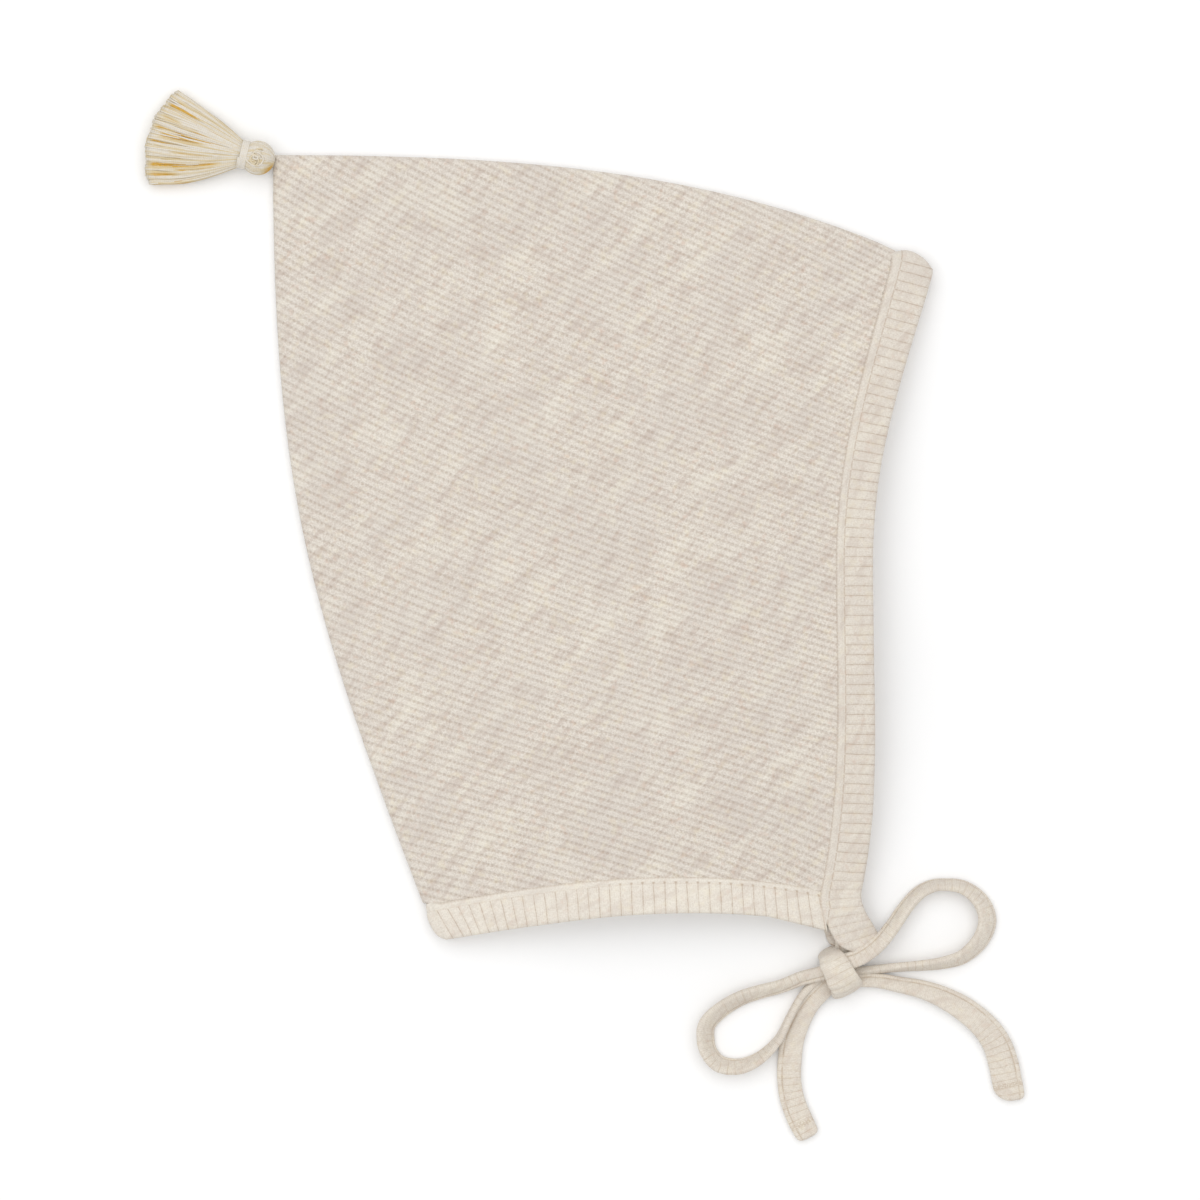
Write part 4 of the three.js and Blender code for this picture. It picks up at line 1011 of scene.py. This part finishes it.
def thread_stuff():
    """Cream thread with a slight gloss, turning to gold by its tint, with a fine twist along it.
    The tint gives the thread's own tone and the golden painted shade among the threads.
    """
    cloth = Recipe("tassel_thread")
    run, tint, place = cloth.cloth_place()
    fleck = cloth.noise(place, 1500.0, 2.0)
    twist = cloth.line(cloth.math("DIVIDE", run, 0.55), 0.9)
    colour = cloth.mix(cloth.ramp(tint, 0.0, 0.5), paint(223, 218, 209), paint(212, 195, 157))
    # Gold: the colour of the painted shade between the threads.
    colour = cloth.mix(cloth.ramp(tint, 0.5, 1.0), colour, paint(206, 160, 58))
    colour = cloth.mix(cloth.ramp(fleck, 0.45, 0.7, 0.0, 0.3), colour, paint(214, 196, 160))
    colour = cloth.mix(cloth.times(twist, 0.12), colour, paint(190, 168, 126))
    return cloth.finish(colour, cloth.times(twist, 0.5), 0.00005, 0.6, 0.1)


def skirt_paths(count, layer_low, layer_high):
    """Paths of the skirt's threads: each leaves the neck at its own place in the round, spreads to
    its share of the fan in a line bowed outwards, sinks towards the table and ends at the slanting
    cut. Threads draw together into locks. Threads in the partings lie a little lower than the ones
    beside them. Gives the paths, and the golden painted shade of the partings on each at each
    point."""
    share = (np.arange(count) + chance.random(count)) / count
    layer = layer_low + (layer_high - layer_low) * chance.random(count)
    share, layer = share[:, None], layer[:, None]
    t = np.linspace(0, 1, SKIRT_STATIONS)[None]
    locks = np.round(share * SKIRT_LOCKS) / SKIRT_LOCKS
    bunched = share + 0.45 * (locks - share) * t * chance.random((count, 1))
    ragged = 0.008 * np.sin(23 * share) + 0.005 * chance.normal(size=(count, 1))
    reach = TASSEL_SKIRT * (1 - CUT_SLANT * (1 - share) ** 2 + ragged) * t
    angle = np.radians(TASSEL_SPREAD) * (bunched - 0.5)
    sideways = 2 * share - 1
    bow = 1.5 * sideways * np.sin(np.pi * t) * np.where(share > 0.5, 1.0, 0.45)
    over = 2.3 * sideways * (1 - t) + np.sin(angle) * reach + bow
    over = over + 0.22 * np.sin(7 * t + 40 * chance.random((count, 1))) * t
    out = BINDING_PLACE - 0.6 + np.cos(angle) * reach
    round_neck = np.sqrt(np.clip(1 - sideways**2, 0.05, 1))
    at_neck = (layer - 0.5) * 2 * 2.4 * round_neck
    thin = 0.55 + 0.45 * round_neck
    lying = 0.3 + layer * (TASSEL_DEPTH - 0.5) * thin - TASSEL_HEAD / 2
    parting_shade = np.zeros(over.shape)
    # Golden painted shade where the threads part.
    for at, start, stop, width in SHADED_PARTINGS:
        beside = np.exp(-(((share - at) / width) ** 2))
        inside = np.clip((t - start) / 0.12, 0, 1) * np.clip((stop + 0.02 - t) / 0.06, 0, 1)
        parting_shade = np.maximum(parting_shade, beside * inside)
    up = at_neck + (lying - at_neck) * np.clip(t / 0.75, 0, 1) ** 0.8 - 0.25 * parting_shade
    return in_tassel(out, over, up), parting_shade


tassel_thread = thread_stuff()
under, under_parting_shade = skirt_paths(UNDER_THREADS, 0.0, 0.7)
top, top_parting_shade = skirt_paths(TOP_THREADS, 0.75, 1.0)
# The lower threads are painted darker and golden, as painted shade beneath the top ones.
under_shade_tint = 0.25 + 0.4 * chance.random(UNDER_THREADS)
top_tint = 0.5 * chance.random(TOP_THREADS) ** 2.2
tone_and_under_shade = np.concatenate([under_shade_tint, top_tint])[:, None]
# Most threads in a parting take its painted shade.
skirt_parting_shade = np.concatenate([under_parting_shade, top_parting_shade]) * (chance.random(tone_and_under_shade.shape) < 0.8)
skirt_tint = np.clip(tone_and_under_shade + skirt_parting_shade * (0.8 + 0.4 * chance.random(tone_and_under_shade.shape)), 0, 1)
top_radius = THREAD * (0.85 + 0.3 * chance.random(TOP_THREADS))
skirt_radius = np.concatenate([np.full(UNDER_THREADS, UNDER_THREAD), top_radius])[:, None]
skirt_radius = skirt_radius * np.linspace(0.9, 1.35, SKIRT_STATIONS)
skirt_paths_all = np.concatenate([under, top])
skirt = threads("skirt_threads", skirt_paths_all, skirt_radius, skirt_tint, tassel_thread)


def head_paths(count):
    """Paths of the threads over the head: half circles round the way of the tassel, each from the
    neck over the far side of the head and back to the neck, a little wavy."""
    spin = np.pi * (np.arange(count) + 0.7 * chance.random(count)) / count
    turn = np.linspace(-2.4, 2.4, 33)[None]
    swing = 0.09 * np.sin(3 * turn + 6 * chance.random((count, 1)))
    radius = (TASSEL_HEAD / 2 - THREAD) * (1 - 0.025 * chance.random((count, 1)))
    spun = spin[:, None] + swing
    ring = radius * np.sin(turn)
    return in_tassel(-radius * np.cos(turn), ring * np.cos(spun), ring * np.sin(spun)), spin


over_head, head_spin = head_paths(HEAD_THREADS)
upright = in_tassel(0 * head_spin, -np.sin(head_spin), np.cos(head_spin)) - head_middle
# Golden painted shade on the head where it meets the hood's point, fading from this middle.
head_shade_middle = in_tassel(np.array(-3.3), np.array(2.4), np.array(0.6))
from_head_shade = np.linalg.norm(over_head - head_shade_middle, axis=-1)
head_tint = 0.4 * chance.random((HEAD_THREADS, 1)) ** 1.5 + np.exp(-((from_head_shade / 1.9) ** 2.6))
head_threads = threads(
    "head_threads", over_head, HEAD_THREAD, np.clip(head_tint, 0, 1), tassel_thread, upright=upright
)


def coil(turns, pitch, radius, out_start, wobble):
    """A coil of thread round the way of the tassel, as one path."""
    turn = np.linspace(0, 2 * np.pi * turns, int(turns * 40))[None]
    ring = radius + wobble * np.sin(2.3 * turn)
    out = out_start + pitch * turn / (2 * np.pi)
    return in_tassel(out, ring * np.cos(turn), ring * np.sin(turn))


winding = coil(4.2, 0.44, TASSEL_NECK / 2 + 0.55, BINDING_PLACE - 0.95, 0.05)
winding_piece = threads(
    "neck_winding", winding, WINDING_THREAD, [0.02], tassel_thread,
    sides=8, upright=tassel_way[None],
)


def looped_thread(out, over, wide, tall, turned, turns, rise):
    """A thread that circles on top of the head in an oval that shrinks inwards, as one path."""
    turn = np.linspace(0, 2 * np.pi * turns, 48)
    shrink = 1 - 0.45 * turn / turn[-1]
    flat = turned + turn
    along_out = out + shrink * (wide * np.cos(flat) + 0.15 * np.sin(2 * flat))
    along_over = over + shrink * (tall * np.sin(flat) + 0.12 * np.cos(3 * flat))
    up = np.sqrt(np.clip((TASSEL_HEAD / 2 + rise) ** 2 - along_out**2 - along_over**2, 0.5, None))
    return in_tassel(along_out, along_over, up)


loops = np.stack(
    [
        looped_thread(0.3, 0.3, 2.5, 2.2, 0.3, 0.9, 0.12),
        looped_thread(0.7, 0.9, 1.3, 1.5, 2.1, 1.1, 0.2),
        looped_thread(0.1, -0.6, 1.4, 1.0, 4.0, 0.8, 0.22),
        looped_thread(-0.6, 0.6, 2.6, 2.9, 4.6, 0.55, 0.08),
        looped_thread(0.5, 0.2, 0.8, 0.5, 1.0, 0.9, 0.3),
    ]
)
loop_tints = [0.1, 0.3, 0.2, 0.35, 0.1]
loops_up = np.tile([0.2, 0.1, 1.0], (5, 1))
swirl_piece = threads(
    "head_loops", loops, LOOP_THREAD, loop_tints, tassel_thread, sides=6, upright=loops_up
)


def head_core():
    """The ball of thread inside the head: a sphere round its middle, a little inside its
    threads."""
    polar = np.linspace(0, np.pi, 26)[1:-1]
    turn = 2 * np.pi * np.arange(40) / 40
    radius = TASSEL_HEAD / 2 - 1.2 * THREAD
    out = -radius * np.cos(polar)[:, None] + 0 * turn
    ring = radius * np.sin(polar)[:, None]
    rings = in_tassel(out, ring * np.cos(turn), ring * np.sin(turn))
    # The ball is painted darker and warmer, as painted shade between the head's threads.
    places = np.stack([out, np.full(out.shape, 0.4)], -1)
    return ring_body("head_core", rings, closed(places), tassel_thread)


core = head_core()
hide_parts("tassel")
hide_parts("tassel_binding")


# The table: a plain pale surface that the cap lies on, under soft light from all round, seen
# through a long lens from straight above. The table and the lamp are in metres, the view in
# millimetres.
TABLE_HALF = 3.0
TABLE_DROP = 0.0002
VIEW_MIDDLE = (85.02, -115.7)
VIEW_WIDTH = 312.0
LENS = 200.0
SENSOR = 36.0
ROOM_LIGHT = 0.665


def table_top():
    """A flat square surface, wide enough to fill the view."""
    corners = np.array([(-1, -1), (1, -1), (1, 1), (-1, 1)]) * TABLE_HALF
    mesh = bpy.data.meshes.new("table_top")
    points = np.column_stack([corners, np.full(4, -TABLE_DROP)])
    mesh.from_pydata(points.tolist(), [], [(0, 1, 2, 3)])
    stuff = Recipe("pale_table")
    place = stuff.node("TexCoord").outputs["Object"]
    cloudy = stuff.ramp(stuff.noise(place, 8.0), 0.4, 0.6)
    colour = stuff.mix(cloudy, paint(250, 250, 250), paint(248, 248, 248))
    mesh.materials.append(stuff.finish(colour, 0.0, 0.0001, 0.9, 0.0))
    made = bpy.data.objects.new("table_top", mesh)
    bpy.context.scene.collection.objects.link(made)
    return made


table_top()

middle = (np.array([*VIEW_MIDDLE, 2.0]) + HOOD_TIP) / 1000
distance = VIEW_WIDTH / 1000 * LENS / SENSOR
camera = bpy.data.objects.new("camera", bpy.data.cameras.new("camera"))
camera.data.lens = LENS
camera.data.sensor_width = SENSOR
camera.location = (middle[0], middle[1], middle[2] + distance)
bpy.context.scene.collection.objects.link(camera)
bpy.context.scene.camera = camera


def soft_light(name, size, power, place):
    """A square lamp that faces the cap."""
    lamp = bpy.data.lights.new(name, "AREA")
    lamp.shape = "SQUARE"
    lamp.size = size
    lamp.energy = power
    made = bpy.data.objects.new(name, lamp)
    made.location = place
    made.rotation_euler = (-Vector(place)).to_track_quat("-Z", "Y").to_euler()
    bpy.context.scene.collection.objects.link(made)


soft_light("overhead_light", 2.4, 19.0, (-0.14, 0.24, 1.5))
world = bpy.data.worlds.new("white_room")
world.use_nodes = True
background = world.node_tree.nodes["Background"]
background.inputs["Color"].default_value = (1.0, 1.0, 1.0, 1.0)
background.inputs["Strength"].default_value = ROOM_LIGHT
bpy.context.scene.world = world
bpy.context.scene.view_settings.view_transform = "Standard"
